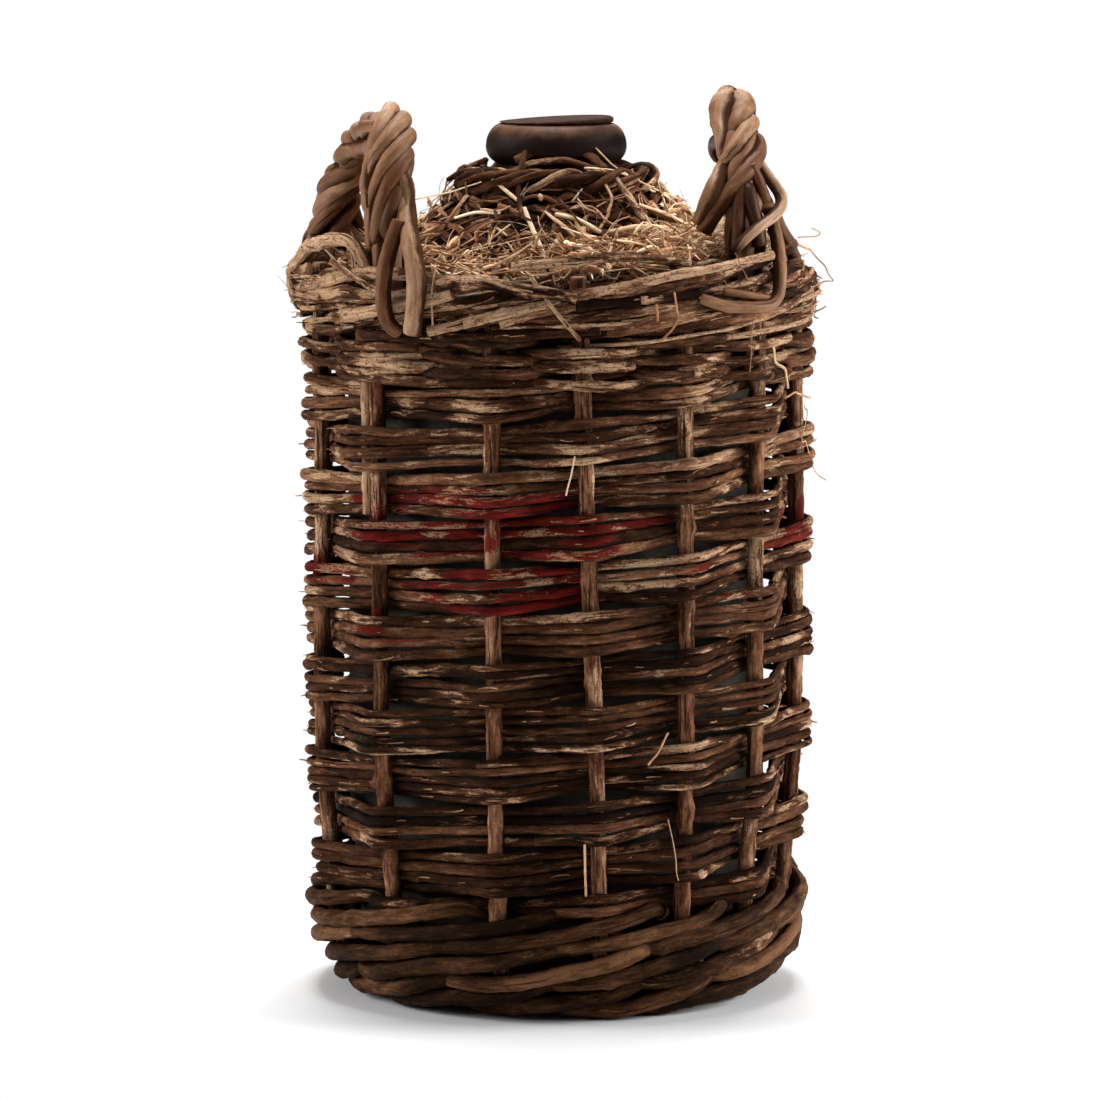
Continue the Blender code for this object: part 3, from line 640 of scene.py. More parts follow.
def bark(name, slot, stops, roughness, peel_edge, grain_depth, crack=0.36, contrast=1.0, shade_strength=0.85,
         shine=0.06, hide=0.30, fade=0.55, shade_colour=CREVICE_SHADE):
    """Rods with bark of several tones, stretches peeled to the wood, paint, painted shade on their hidden
    sides, and cut ends.
    """
    board = Board(name, roughness)
    board.give("Specular Tint", (1.0, 0.80, 0.62, 1.0))
    grain = board.value("grain")
    lengthways = board.stretch(grain, 0.22)
    fibres = board.noise(board.stretch(grain, 0.06), 1500, 3.0, 0.6)
    broad = board.noise(lengthways, 120, 4.0, 0.6, 0.4)
    fine = board.noise(lengthways, 520, 4.0, 0.65, 0.3)
    flecks = board.noise(board.stretch(grain, 0.5), 1300, 3.0, 0.7)
    shade = board.total(board.value("tone"), board.sway(broad, 1.15 * contrast),
                        board.sway(fine, 0.95 * contrast), board.sway(flecks, 0.45 * contrast))
    skin = board.ramp(shade, stops)
    wood = board.ramp(board.total(board.sway(fibres, 1.1), board.sway(fine, 0.5), 0.5), BARE)
    flakes = board.noise(lengthways, 210, 5.0, 0.7, 0.8)
    bare = board.total(board.value("peel"), board.sway(flakes, 1.5), board.sway(flecks, 0.25))
    scuffed = board.step(bare, peel_edge - 0.16, peel_edge + 0.02)
    under = board.ramp(board.total(board.sway(fibres, 1.0), board.sway(fine, 0.8), 0.5), INNER)
    colour = board.mix(board.times(scuffed, 0.7), skin, under)
    specks = board.step(board.noise(grain, 780, 3.0, 0.7), 0.38, 0.45)
    shown = board.times(board.step(bare, peel_edge, peel_edge + 0.045), specks)
    colour = board.mix(shown, colour, wood)
    worn = board.total(board.value("paint"), board.sway(board.noise(lengthways, 150, 5.0, 0.65), 0.9),
                       board.sway(flecks, 0.5))
    barked = board.sum("SUBTRACT", 1.0, board.times(shown, 0.5))
    painted = board.times(board.step(worn, 0.50, 0.56), barked)
    red = board.ramp(board.total(board.sway(board.noise(lengthways, 260, 4.0, 0.7), 1.2), 0.5), RED_PAINT)
    colour = board.mix(board.times(painted, 0.93), colour, red)
    cracks = board.noise(board.stretch(grain, 0.04), 620, 2.0, 0.5, 0.2)
    cracks = board.step(cracks, crack, crack - 0.045)
    colour = board.mix(board.times(cracks, 0.85), colour, CRACK)
    # Painted shade: a rod's sides turned away from the axis, or from its reference, darken towards the shade
    # colour, and the specular is cut there too
    hidden = board.step(board.total(board.value("face"), board.sway(fine, 1.6 * fade)), hide, hide - fade)
    colour = board.mix(board.times(hidden, shade_strength), colour, shade_colour)
    unshaded = board.sum("SUBTRACT", 1.0, board.times(hidden, 0.95))
    board.give("Specular IOR Level", board.times(unshaded, shine))
    end = board.ramp(board.noise(grain, 900, 3.0), CUT_WOOD)
    board.give("Base Color", board.mix(board.step(board.value("cut"), 0.45, 0.7), colour, end))
    board.bump(fibres, grain_depth * 0.6)
    relief = board.total(fine, board.times(flecks, 0.6), board.times(shown, -0.4),
                         board.times(cracks, -0.8))
    board.bump(relief, grain_depth)
    return board.material, slot


SKIN = shades((0.0, 0.006), (0.28, 0.019), (0.48, 0.050), (0.68, 0.11), (0.86, 0.22), (1.0, 0.34))
INNER = shades((0.25, 0.085), (0.5, 0.17), (0.75, 0.29))
BARE = shades((0.2, 0.17), (0.45, 0.35), (0.75, 0.58), green=0.43, blue=0.18)
WOOD = shades((0.0, 0.016), (0.3, 0.055), (0.55, 0.13), (0.8, 0.25), (1.0, 0.38))
WALE = shades((0.0, 0.004), (0.3, 0.012), (0.52, 0.034), (0.75, 0.080), (1.0, 0.17), green=0.40)
SMOOTH = ((0.0, (0.030, 0.009, 0.003)), (0.3, (0.10, 0.037, 0.014)), (0.55, (0.21, 0.102, 0.050)),
          (0.8, (0.40, 0.248, 0.152)), (1.0, (0.58, 0.43, 0.30)))
TWIG = shades((0.0, 0.009), (0.35, 0.036), (0.6, 0.10), (0.85, 0.22), (1.0, 0.34))
DRY = ((0.0, (0.060, 0.018, 0.005)), (0.22, (0.20, 0.076, 0.026)), (0.45, (0.42, 0.200, 0.088)),
       (0.7, (0.62, 0.400, 0.220)), (1.0, (0.78, 0.61, 0.40)))

BARK = bark("willow_bark", "willow_rods", SKIN, 0.80, 0.62, 0.40 * MM)
STAKE_WOOD = bark("stake_wood", "willow_stakes", WOOD, 0.82, 0.62, 0.40 * MM, crack=0.42,
                  contrast=1.5, shade_strength=0.6)
WALE_BARK = bark("wale_bark", "willow_wale", WALE, 0.72, 0.74, 0.30 * MM, crack=0.35,
                 contrast=1.15, hide=0.42)
BORDER_BARK = bark("border_bark", "willow_rods", SKIN, 0.80, 0.60, 0.45 * MM, crack=0.34,
                   contrast=1.25)
# The handles' painted shade is browner, and lies in the grooves between strands
HANDLE_WOOD = bark("handle_wood", "willow_handles", SMOOTH, 0.48, 0.98, 0.16 * MM, crack=0.32,
                   contrast=0.55, shade_strength=0.90, shine=0.16, hide=0.66, fade=0.40,
                   shade_colour=(0.024, 0.0085, 0.0035))
TWIG_BARK = bark("dark_twigs", "dark_twigs", TWIG, 0.82, 0.76, 0.35 * MM, crack=0.37, contrast=1.1)
SHRED_WOOD = bark("bark_shreds", "willow_rods", TWIG, 0.82, 0.55, 0.15 * MM, crack=0.30, shade_strength=0.0)


def straw_material():
    board = Board("dry_straw", 0.66)
    board.give("Specular IOR Level", 0.25)
    grain = board.value("grain")
    lines = board.noise(board.stretch(grain, 0.05), 2400, 2.0, 0.5)
    stains = board.noise(grain, 220, 3.0, 0.6)
    shade = board.total(board.value("tone"), board.sway(stains, 0.7), board.sway(lines, 0.5))
    board.give("Base Color", board.ramp(shade, DRY))
    board.bump(lines, 0.12 * MM)
    return board.material


def glaze_material():
    """Dull brown salt glaze, paler on the lip's upper half as a painted highlight, and greener on the body.
    """
    board = Board("brown_glaze", 0.55)
    place = board.place()
    clouds = board.noise(place, 60, 4.0, 0.6, 0.5)
    pores = board.noise(place, 900, 3.0, 0.6)
    axes = board.put("SeparateXYZ", place)
    height = board.total(axes.outputs["Z"], board.sway(clouds, 7 * MM), board.sway(pores, 2 * MM))
    # Painted highlight: the lip's glaze turns from dark to pale over its top 7.5 mm
    edge = board.step(height, LIP_TOP - 7.5 * MM, LIP_TOP)
    dark = board.ramp(clouds, shades((0.35, 0.009), (0.65, 0.018)))
    pale = board.ramp(clouds, shades((0.35, 0.050), (0.65, 0.125)))
    colour = board.mix(edge, dark, pale)
    body = board.ramp(clouds, ((0.3, (0.014, 0.011, 0.008)), (0.75, (0.058, 0.054, 0.038))))
    low = board.step(axes.outputs["Z"], JAR_WALL_TOP + 30 * MM, JAR_WALL_TOP)
    colour = board.mix(low, colour, body)
    spots = board.step(board.noise(place, 420, 2.0), 0.62, 0.68)
    board.give("Base Color", board.mix(board.times(spots, 0.45), colour, (0.014, 0.007, 0.005)))
    board.give("Specular IOR Level", 0.12)
    board.bump(pores, 0.10 * MM)
    board.bump(clouds, 0.5 * MM)
    return board.material


def cork_material():
    board = Board("old_cork", 0.85)
    board.give("Specular IOR Level", 0.1)
    place = board.place()
    layers = board.noise(board.stretch(place, 3.0), 260, 4.0, 0.65)
    pits = board.step(board.noise(place, 620, 2.0, 0.6), 0.42, 0.34)
    colour = board.ramp(layers, shades((0.3, 0.016), (0.7, 0.055)))
    board.give("Base Color", board.mix(pits, colour, (0.010, 0.006, 0.004)))
    board.bump(board.sum("SUBTRACT", layers, pits), 0.6 * MM)
    return board.material


STRAW = straw_material(), "straw"
GLAZE = glaze_material(), "stoneware"
CORK = cork_material(), "cork"


def tone_and_shade_by_height(height):
    """The casing is paler towards the rim and darker towards the foot, where the dark is partly painted
    shade.
    """
    return 0.24 * np.clip((height - 200 * MM) / (150 * MM), -0.45, 1)


def make_stakes():
    for index in range(STAKE_COUNT):
        name = "stake_%02d" % (index + 1)
        bundle = Bundle("upright_" + name, 100 + index)
        turns = np.linspace(FOOT_END, LEAN, 9)
        higher = np.linspace(FOOT_TOP + 6 * MM, STAKE_TOP, 30)
        radii = np.append(FOOT_RADIUS + FOOT_BEND * np.cos(turns), stake_radius(higher))
        heights = np.append(FOOT_HEIGHT - FOOT_BEND * np.sin(turns), higher)
        angles = [stake_deg(index, height) for height in heights]
        path = jolt(soften(at(radii, angles, heights), 4 * MM), bundle.dice, 60 * MM, 0.35 * MM, False)
        radius = STAKE_R * (1.02 + wander(bundle.dice, lengths(path), 50 * MM, 0.04))
        bundle.rod(path, radius, 14, tone=bundle.dice.uniform(0.36, 0.60), peel=0.40, patch=0.16,
                   lumps=0.04, knots=9)
        bundle.build(STAKE_WOOD, name)


def slew_range(strand):
    """A strand's height in front, and the angles between which it winds."""
    level = SLEW_LEVEL + strand * SLEW_PITCH / 2
    ends = SLEW_BOTTOM - SLEW_PITCH / 4, SLEW_TOP + SLEW_PITCH / 4
    return level, *(360.0 * (end - level) / SLEW_PITCH for end in ends)


def slew_joins(strand):
    """The stakes behind which a strand is cut, as indices that run past one turn."""
    start, end = slew_range(strand)[1:]
    return [index for index in SLEW_STAKES
            if start + SLEW_LEAST_DEG < stake_deg(index) < end - SLEW_LEAST_DEG
            and (index - SLEW_JOIN_STAKE - strand) % STAKE_COUNT == 0]


def slew_line(strand, first, last, shift, stand_extra, close):
    """A rod of a band from one stake to another, a shift above the band's middle.

    Close is the share of the shift that is left where the band goes behind a stake.
    """
    level = slew_range(strand)[0]
    places = []
    for index in range(first, last + 1):
        height = level + SLEW_PITCH * stake_deg(index) / 360.0
        centre = stake_deg(index, height)
        bow = bow_side(index) if height > BORDER_LOW - HANDLE_DEPTH else 0
        beside = index % STAKE_COUNT == 1 and height > SIDE_STAKE_LOW
        before = COMPANION_DEG if bow < 0 or beside else 0.0
        after = COMPANION_DEG if bow > 0 else 0.0
        stand = STAKE_R + SLEW_R + stand_extra
        front = (index + strand) % 2 == 1
        hold, tight, off = (1.0, 1.0, stand) if front else (0.6, close, -stand)
        for side in (-HOLD_DEG - before, HOLD_DEG + after):
            angle = centre + side * hold
            place = level + SLEW_PITCH * angle / 360.0 + shift * tight
            places.append((stake_radius(place) + off, angle, place))
    return at(*np.array(places).T)


SHREDS = Bundle("bark_shreds", 900)


def stub_end(line, thick, dice):
    """Let some rods' butts come out to the face, past the stake behind which they were laid in."""
    if dice.random() > 0.4:
        return line
    last = line[-1]
    points = [at(math.hypot(last[0], last[1]) + out, degrees_of(last) + turn, last[2] + up)
              for out, turn, up in ((1.5 * thick, 2.5, 0.3 * thick),
                                    (STAKE_R * 2 + thick * 2.2, dice.uniform(4, 6), 0.6 * thick))]
    return np.concatenate([line, points])


def shreds(bundle, path, thick, each):
    """Short curls of loose bark that stand off a rod, so many to a metre."""
    dice = bundle.dice
    for shred in range(dice.poisson(each * lengths(path)[-1])):
        place = int(dice.integers(3, len(path) - 3))
        root = path[place]
        outward = outwards(root)
        ahead = unit(path[place + 2] - path[place - 2]) * dice.choice((-1, 1))
        rise = dice.normal(0, 0.7) * UP
        length = dice.uniform(3, 9) * MM
        share = np.linspace(0, 1, 6)[:, None]
        curl = dice.uniform(0.15, 0.9)
        line = root + outward * thick * 0.9 + length * share * (ahead + 0.4 * rise)
        line = line + outward * curl * length * 0.45 * share ** 2 - rise * length * 0.3 * share ** 2
        SHREDS.rod(line, dice.uniform(0.25, 0.6) * MM * (1 - 0.6 * share[:, 0]), 4,
                   tone=dice.uniform(0.3, 0.95), peel=dice.uniform(0.3, 0.6), flat=0.5, rough=0.05,
                   blunt=False)


def make_slews():
    for strand, letter in enumerate("ab"):
        start, end = slew_range(strand)[1:]
        first = min(index for index in SLEW_STAKES if stake_deg(index) > start)
        last = max(index for index in SLEW_STAKES if stake_deg(index) < end)
        edges = [first] + slew_joins(strand) + [last]
        for number in range(len(edges) - 1):
            bundle = Bundle("slew_band_%s_%d" % (letter, number + 1), 200 + 20 * strand + number)
            dice = bundle.dice
            rows = 5 if dice.random() < 0.5 else 4
            shares = dice.uniform(0.80, 1.14, rows)
            spaces = shares / shares.sum() * SLEW_PITCH / 2
            places = np.cumsum(spaces) - spaces / 2 - SLEW_PITCH / 4
            for row in range(rows):
                starts = edges[number] + (2 * int(dice.integers(-1, 2)) if number else 0)
                ends = edges[number + 1]
                ends += 2 * int(dice.integers(-1, 2)) if number < len(edges) - 2 else 0
                close = SLEW_CLOSE + dice.uniform(-0.10, 0.05)
                thick = min(spaces[row] / 2 * dice.uniform(0.80, 0.94), SLEW_R * 1.12)
                line = slew_line(strand, starts, ends, places[row], dice.uniform(-0.3, 1.0) * MM, close)
                line = stub_end(line, thick, dice)
                path = jolt(soften(line, 2.3 * MM), dice, 38 * MM, 0.48 * MM)
                path = jolt(path, dice, 11 * MM, 0.16 * MM)
                edge = 0.4 * thick
                run = np.flatnonzero((path[:, 2] > SLEW_BOTTOM + edge) & (path[:, 2] < SLEW_TOP - edge))
                path = path[run[0]:run[-1] + 1]
                pale = 0.08 if row == rows - 1 else 0.0
                along = lengths(path)
                taper = np.interp(along, (0, along[-1]), (1.05, dice.uniform(0.82, 0.98)))
                radius = thick * taper * (1 + wander(dice, along, 70 * MM, 0.05))
                tone = 0.41 + tone_and_shade_by_height(float(path[:, 2].mean())) + dice.normal(0, 0.12)
                peel = 0.37 + pale + dice.normal(0, 0.07)
                bundle.rod(path, radius, tone=tone, peel=peel, patch=0.13, lumps=0.04, knots=14)
                shreds(bundle, path, thick, each=26)
            bundle.build(BARK, "slew_%s_%d" % (letter, number + 1))


def wale_line(weaver, radius):
    """A foot rod: behind one stake, then up in front of the next two, round after round."""
    count = WALE_ROUNDS * STAKE_COUNT
    places = WALE_START + weaver + np.arange(0, count - weaver, 1 / WALE_STEPS)
    indices = np.arange(WALE_START - 1, WALE_START + count + 3)
    turns = np.interp(places, indices, [stake_deg(int(i), 20 * MM) for i in indices])
    along = (places - WALE_START) / STAKE_COUNT
    climb = np.clip((along % 1.0 - 1.0) * STAKE_COUNT / 3 + 1, 0, 1)
    rounds = np.floor(along) + climb * climb * (3 - 2 * climb)
    phase = (places - WALE_START - weaver) % 3
    rise = np.interp(phase, (0, 0.3, 1.0, 2.0, 2.5, 2.7, 3), (0, -1, -0.42, 0.40, 0.88, 1, 0))
    length = WALE_LOWEST + WALE_ROUND * rounds + WALE_SLOPE * rise
    out = np.interp(phase, (0, 0.12, 0.5, 0.85, 2.15, 2.5, 2.88, 3), (-1, -1, 0.45, 1, 1, 0.45, -1, -1))
    radii, heights = foot_line(length, out * (STAKE_R + radius))
    return at(radii, turns, np.maximum(heights, radius))


def make_wale():
    for weaver, nodes in enumerate(WALE_NODES):
        bundle = Bundle("foot_rod_%d" % (weaver + 1), 300 + weaver)
        dice = bundle.dice
        line = wale_line(weaver, WALE_R)
        stroke = 3 * WALE_STEPS
        cuts = list(range(0, len(line) - stroke, 4 * stroke)) + [len(line) - 1]
        for start, end in zip(cuts, cuts[1:]):
            part = line[max(start - 4, 0):end + 8]
            path = jolt(soften(part, 5 * MM), dice, 45 * MM, 0.9 * MM)
            along = lengths(path)
            taper = np.interp(along, (0, along[-1]), (1.08, 0.86))
            radius = (WALE_R - 0.4 * MM) * taper * (1 + wander(dice, along, 60 * MM, 0.06))
            path[:, 2] = np.maximum(path[:, 2], WALE_R * 1.06)
            bundle.rod(path, radius, 14, tone=0.44 + 0.06 * weaver + dice.normal(0, 0.09), peel=0.38,
                       patch=0.14, lumps=0.04, rough=0.02, knots=9)
        bundle.build(WALE_BARK, *["wale_rod_%d" % n for n in nodes])


def ring_place(position, height):
    """Angle of a position among the stakes, counted in stakes."""
    indices = np.arange(-4, 3 * STAKE_COUNT)
    return np.interp(position, indices, [stake_deg(int(i), height) for i in indices])


def border_stroke(bundle, start, span, low, high, radius, layer, dive, **looks):
    """A rim rod: out from behind one stake, up in front of two or three, and in again."""
    share = np.linspace(0, 1, 40)
    angles = ring_place(start + span * share, BORDER_LOW)
    out = STAKE_R + radius + layer
    inside = -(STAKE_R + radius)
    offsets = np.interp(share, (0, 0.04, 0.20, 0.34), (inside, inside, out * 0.7, out))
    if dive:
        back = np.interp(share, (0.74, 0.86, 0.97, 1), (out, out * 0.6, inside, inside))
        offsets = np.where(share > 0.74, back, offsets)
    path = soften(at(RING + offsets, angles, low + (high - low) * share), 6 * MM)
    path = jolt(path, bundle.dice, 40 * MM, 1.1 * MM)
    along = lengths(path)
    taper = np.interp(along, (0, along[-1]), (1.08, 0.85))
    radii = radius * taper * (1 + wander(bundle.dice, along, 45 * MM, 0.08))
    bundle.rod(path, radii, 12, lumps=0.05, rough=0.025, knots=12, **looks)
    shreds(bundle, path, radius, each=60)


def ring_rod(bundle, first, height):
    """A thin rod that goes in and out of the stakes all round, close under the border."""
    positions = np.arange(first, first + STAKE_COUNT + 0.5, 0.05)
    weave = np.clip(1.6 * np.cos(math.pi * (positions + first)), -1, 1)
    radii = RING + (STAKE_R + RING_ROD_R + 0.6 * MM) * weave
    path = soften(at(radii, ring_place(positions, height), height), 4 * MM)
    path = jolt(path, bundle.dice, 40 * MM, 0.7 * MM)
    bundle.rod(path, RING_ROD_R, 9, tone=0.42, peel=0.30, patch=0.16, lumps=0.07, knots=12)


def laid_rod(bundle, pixels, radius, thick, **looks):
    """A rod laid where the picture shows one, on a surface of a radius round the axis."""
    path = soften(np.array([seen(pixel, radius) for pixel in pixels]), 4 * MM)
    path = jolt(path, bundle.dice, 30 * MM, 0.4 * MM)
    bundle.rod(path, thick * (1 + wander(bundle.dice, lengths(path), 30 * MM, 0.08)), 12, **looks)
    return path


# Rim rods that stand out in the picture: places in it, then distance off the rim's face and half
# thickness in millimetres, tone, how peeled and how flat
RIM_RODS = (
    (((428, 331), (500, 316), (600, 291), (690, 272), (772, 255)), 2.5, 2.2, 0.75, 0.72, 0.7),
    (((500, 322), (560, 309), (640, 290), (704, 276)), 1.0, 2.0, 0.60, 0.55, 0.8),
    (((337, 319), (372, 311), (410, 304), (452, 293)), 1.5, 3.1, 0.60, 0.56, 0.9),
    (((296, 292), (330, 279), (372, 272), (420, 274), (470, 284)), -1.0, 3.0, 0.56, 0.50, 0.9),
    (((300, 300), (291, 282), (294, 264), (308, 248), (330, 240), (350, 241), (362, 256), (366, 272)),
     -3.0, 3.3, 0.56, 0.52, 1.0),
    (((438, 287), (480, 281), (535, 292), (576, 300)), 1.0, 3.3, 0.20, 0.28, 0.9),
    (((575, 306), (640, 300), (700, 284), (744, 268), (790, 250)), 0.0, 2.9, 0.16, 0.28, 0.9),
    (((470, 318), (560, 321), (640, 312), (700, 300)), 0.0, 2.2, 0.50, 0.45, 0.9),
    (((640, 300), (700, 296), (752, 282), (800, 262)), 1.0, 2.6, 0.14, 0.22, 0.9),
    (((512, 268), (560, 262), (620, 257), (690, 262)), -2.0, 2.4, 0.24, 0.32, 0.8),
    (((360, 334), (430, 338), (520, 336), (600, 330)), -1.0, 2.6, 0.24, 0.26, 0.9),
    (((330, 262), (372, 288), (420, 318)), 2.0, 1.6, 0.62, 0.6, 0.5),
    (((530, 276), (556, 312), (580, 340)), 3.0, 0.9, 0.7, 0.6, 0.5),
)


def make_border():
    bundles = [Bundle("rim_rods_%d" % (k + 1), 400 + k) for k in range(BORDER_NODES)]
    floor = BORDER_LOW + BORDER_R * 0.7
    ceiling = BORDER_HIGH - BORDER_R * 0.9
    for stroke in range(BORDER_STROKES):
        bundle = bundles[stroke % BORDER_NODES]
        dice = bundle.dice
        start = stroke * STAKE_COUNT / BORDER_STROKES + dice.uniform(-0.15, 0.15)
        span = dice.uniform(1.9, 3.2)
        low = floor + dice.uniform(-0.5, 9.0) * MM
        high = ceiling + dice.uniform(-12.0, 1.5) * MM
        border_stroke(bundle, start, span, low, high, BORDER_R * dice.uniform(0.42, 0.86),
                      dice.uniform(-1.6, 3.0) * MM, dice.random() < 0.5,
                      tone=dice.choice((0.18, 0.36, 0.62)) + dice.uniform(-0.08, 0.08),
                      peel=dice.uniform(0.08, 0.42), patch=0.22, flat=dice.uniform(0.55, 1.0))
    for sliver in range(BORDER_SLIVERS):
        bundle = bundles[sliver % BORDER_NODES]
        dice = bundle.dice
        low = floor + dice.uniform(-3.0, 22.0) * MM
        border_stroke(bundle, dice.uniform(0, STAKE_COUNT), dice.uniform(0.8, 2.2), low,
                      low + dice.uniform(0, 9.0) * MM, dice.uniform(0.7, 1.5) * MM,
                      dice.uniform(2.6, 5.8) * MM, dice.random() < 0.3, tone=dice.uniform(0.25, 0.80),
                      peel=dice.uniform(0.25, 0.70), patch=0.2, flat=dice.uniform(0.5, 1.0))
    for row in range(RING_RODS):
        ring_rod(bundles[row % BORDER_NODES], row, BORDER_LOW + (2.0 - 3.6 * row) * MM)
    face = RING + STAKE_R + BORDER_R * 1.7
    front = bundles[0]
    for pixels, off, thick, tone, peel, flat in RIM_RODS:
        path = laid_rod(front, pixels, face + off * MM, thick * MM, tone=tone, peel=peel, patch=0.20,
                        flat=flat, lumps=0.07, knots=10)
        shreds(front, path, thick * MM, each=50)
    for k, bundle in enumerate(bundles):
        bundle.build(BORDER_BARK, "border_rod_%d" % (k + 1))


def handle_frame(handle, foot_height, apex):
    """An arch's middle, half its span, and its rise to the top."""
    feet = [at(RING, bow_deg(handle, end), foot_height) for end in (0, 1)]
    middle = (feet[0] + feet[1]) / 2
    return middle, (feet[1] - feet[0]) / 2, (apex - foot_height) * UP - outwards(middle) * handle["lean"]


def arch(handle, frame_parts, share):
    """Points of a handle's centre line, with the two directions across it."""
    middle, half, rise = frame_parts
    turn = np.pi * np.asarray(share)[..., None]
    up = np.sin(turn)
    level = np.cos(turn)
    point = middle - half * (level + handle["skew"] * up * up) + rise * up
    heading = unit(half * up * (1 - 2 * handle["skew"] * level) + rise * level)
    across = unit(np.cross(half, rise))
    return point, np.cross(across, heading), across


def rope_line(handle, parts, strand):
    """The line of a strand round the arch: closer in where the drawn strands lie over it."""
    split = math.asin(SPLIT_RISE / parts[2][2]) / math.pi
    starts = []
    for share in (split, 1 - split):
        point, beside, across = arch(handle, parts, share)
        starts.append(math.atan2(outwards(point) @ beside, outwards(point) @ across))
    phase = starts[0] + TAU * (strand + 0.5) / STRAND_COUNT
    fine = np.linspace(split, 1 - split, 600)
    along = lengths(arch(handle, parts, fine)[0])
    shares = np.interp(np.linspace(0, along[-1], ROPE_POINTS), along, fine)
    point, beside, across = arch(handle, parts, shares)
    turns = (TAU * HANDLE_TURNS + starts[1] - starts[0]) * np.linspace(0, 1, ROPE_POINTS)
    turn = (phase + turns)[:, None]
    away = np.cos(turn) * across + np.sin(turn) * beside
    hidden = 0.5 + 0.5 * away @ unit(np.array(CAMERA_AIM - CAMERA))
    orbit = FRONT_ORBIT + (STRAND_ORBIT - FRONT_ORBIT) * hidden
    return point + orbit[:, None] * away


# The handles' strands as the picture shows them. Each has places in it, then half thicknesses in
# millimetres along it, tone, which ends go into the rope's middle, and which leg it lies on. A
# place lies on the rope, or where it has a third number at that distance from the axis.
BOTH, START, END, NONE = (True, True), (True, False), (False, True), (False, False)
DRAWN = {
    "left": (
        (((357, 134), (367, 128), (379, 127)), (3.8,), 0.34, BOTH, "rear"),
        (((342, 156), (347, 150), (360, 147), (375, 146)), (4.3,), 0.40, BOTH, "rear"),
        (((343, 166), (352, 160), (365, 157)), (3.3,), 0.24, BOTH, "rear"),
        (((322, 192), (327, 183), (338, 174), (352, 167), (366, 163)), (4.3,), 0.38, BOTH, "rear"),
        (((318, 214), (324, 202), (335, 190), (350, 181), (362, 174)), (4.3,), 0.52, BOTH, "rear"),
        (((311, 258, 118), (314, 240), (320, 224), (331, 210), (345, 196), (357, 184)), (4.0, 4.4), 0.34,
         END, "rear"),
        (((324, 262, 112), (330, 244), (338, 228), (348, 212), (356, 196)), (4.1,), 0.30, END, "rear"),
        (((370, 250), (363, 236), (356, 222), (352, 206)), (3.8,), 0.16, BOTH, "rear"),
        (((398, 186), (395, 200), (390, 214), (386, 232)), (3.8,), 0.16, BOTH, "front"),
        (((392, 109), (385, 121), (379, 138), (374, 156), (369, 176), (366, 194)), (4.2, 4.6, 3.4), 0.60,
         END, "front"),
        (((405, 117), (398, 127), (387, 141), (378, 157), (371, 176), (368, 196), (369, 212)),
         (4.5, 4.5, 3.8), 0.54, BOTH, "front"),
        (((411, 134), (401, 145), (388, 162), (379, 181), (373, 201), (372, 222), (373, 243),
          (374, 264, 103)), (4.5, 4.4, 3.6), 0.40, START, "front"),
        (((409, 152), (400, 166), (391, 180), (384, 198), (380, 216), (377, 236), (379, 258, 105)),
         (4.3, 4.2, 3.4), 0.34, START, "front"),
        (((402, 172), (406, 190), (407, 208), (409, 228, 121), (412, 248, 127), (416, 272, 132),
          (417, 295, 132.5), (414, 318, 132), (412, 333, 131)), (3.6, 4.4, 4.8, 4.6), 0.60, START, "front"),
        (((408, 184), (405, 198), (400, 212), (393, 226)), (2.2, 3.4, 2.6, 0.6), 0.80, START, "front"),
        (((399, 221, 124), (394, 236, 127), (388, 254, 131), (384, 276, 132.5), (383, 298, 132.5),
          (385, 316, 132), (390, 327, 130), (399, 331, 126)), (3.6, 4.3, 4.2, 3.6), 0.28, NONE, "front"),
    ),
    "right": (
        (((720, 160), (714, 150), (716, 142), (728, 132)), (3.6,), 0.26, BOTH, "rear"),
        (((747, 186), (750, 200), (754, 216), (760, 246)), (3.6,), 0.08, START, "front"),
        (((741, 182), (739, 200), (738, 216), (738, 246)), (3.4,), 0.04, START, "front"),
        (((732, 94), (728, 99), (724, 108), (723, 120), (724, 138), (723, 160)),
         (5.4, 7.8, 7.4, 5.6, 3.8, 2.2), 0.62, END, "front"),
        (((738, 96), (742, 101), (745, 108), (740, 119), (733, 130)), (4.0, 6.0, 6.0, 4.8, 2.6), 0.50, END,
         "front"),
        (((753, 120), (746, 131), (735, 150), (724, 169), (714, 188, 104), (706, 206, 101), (699, 224, 98)),
         (4.3, 4.5, 4.4, 4.2), 0.58, START, "front"),
        (((757, 138), (759, 151), (753, 164), (742, 178), (729, 193, 108), (716, 210, 105), (704, 232, 101)),
         (4.2, 4.2, 4.3, 4.3), 0.36, START, "front"),
        (((750, 164, 112), (757, 180, 114), (765, 204, 118)), (3.0, 3.4, 3.4), 0.16, NONE, "front"),
        (((757, 158), (763, 170, 112), (774, 184, 118), (782, 195, 121), (782, 206, 123), (774, 216, 124),
          (758, 227, 123), (742, 241, 120), (735, 248, 114)), (2.6, 3.0, 3.0, 2.8), 0.78, START, "front"),
        (((766, 196, 113), (774, 222, 121), (779, 247, 127), (781, 275, 131), (779, 296, 132),
          (771, 306, 132), (747, 308, 131.5), (722, 306, 130), (700, 299, 126)), (3.3, 3.5, 3.2, 3.0), 0.50,
         START, "front"),
        (((769, 298, 130), (747, 295, 130), (722, 291, 126)), (2.2,), 0.42, NONE, "front"),
        (((770, 206), (786, 238, 114), (794, 258, 114)), (3.0, 3.4), 0.20, START, "front"),
    ),
}


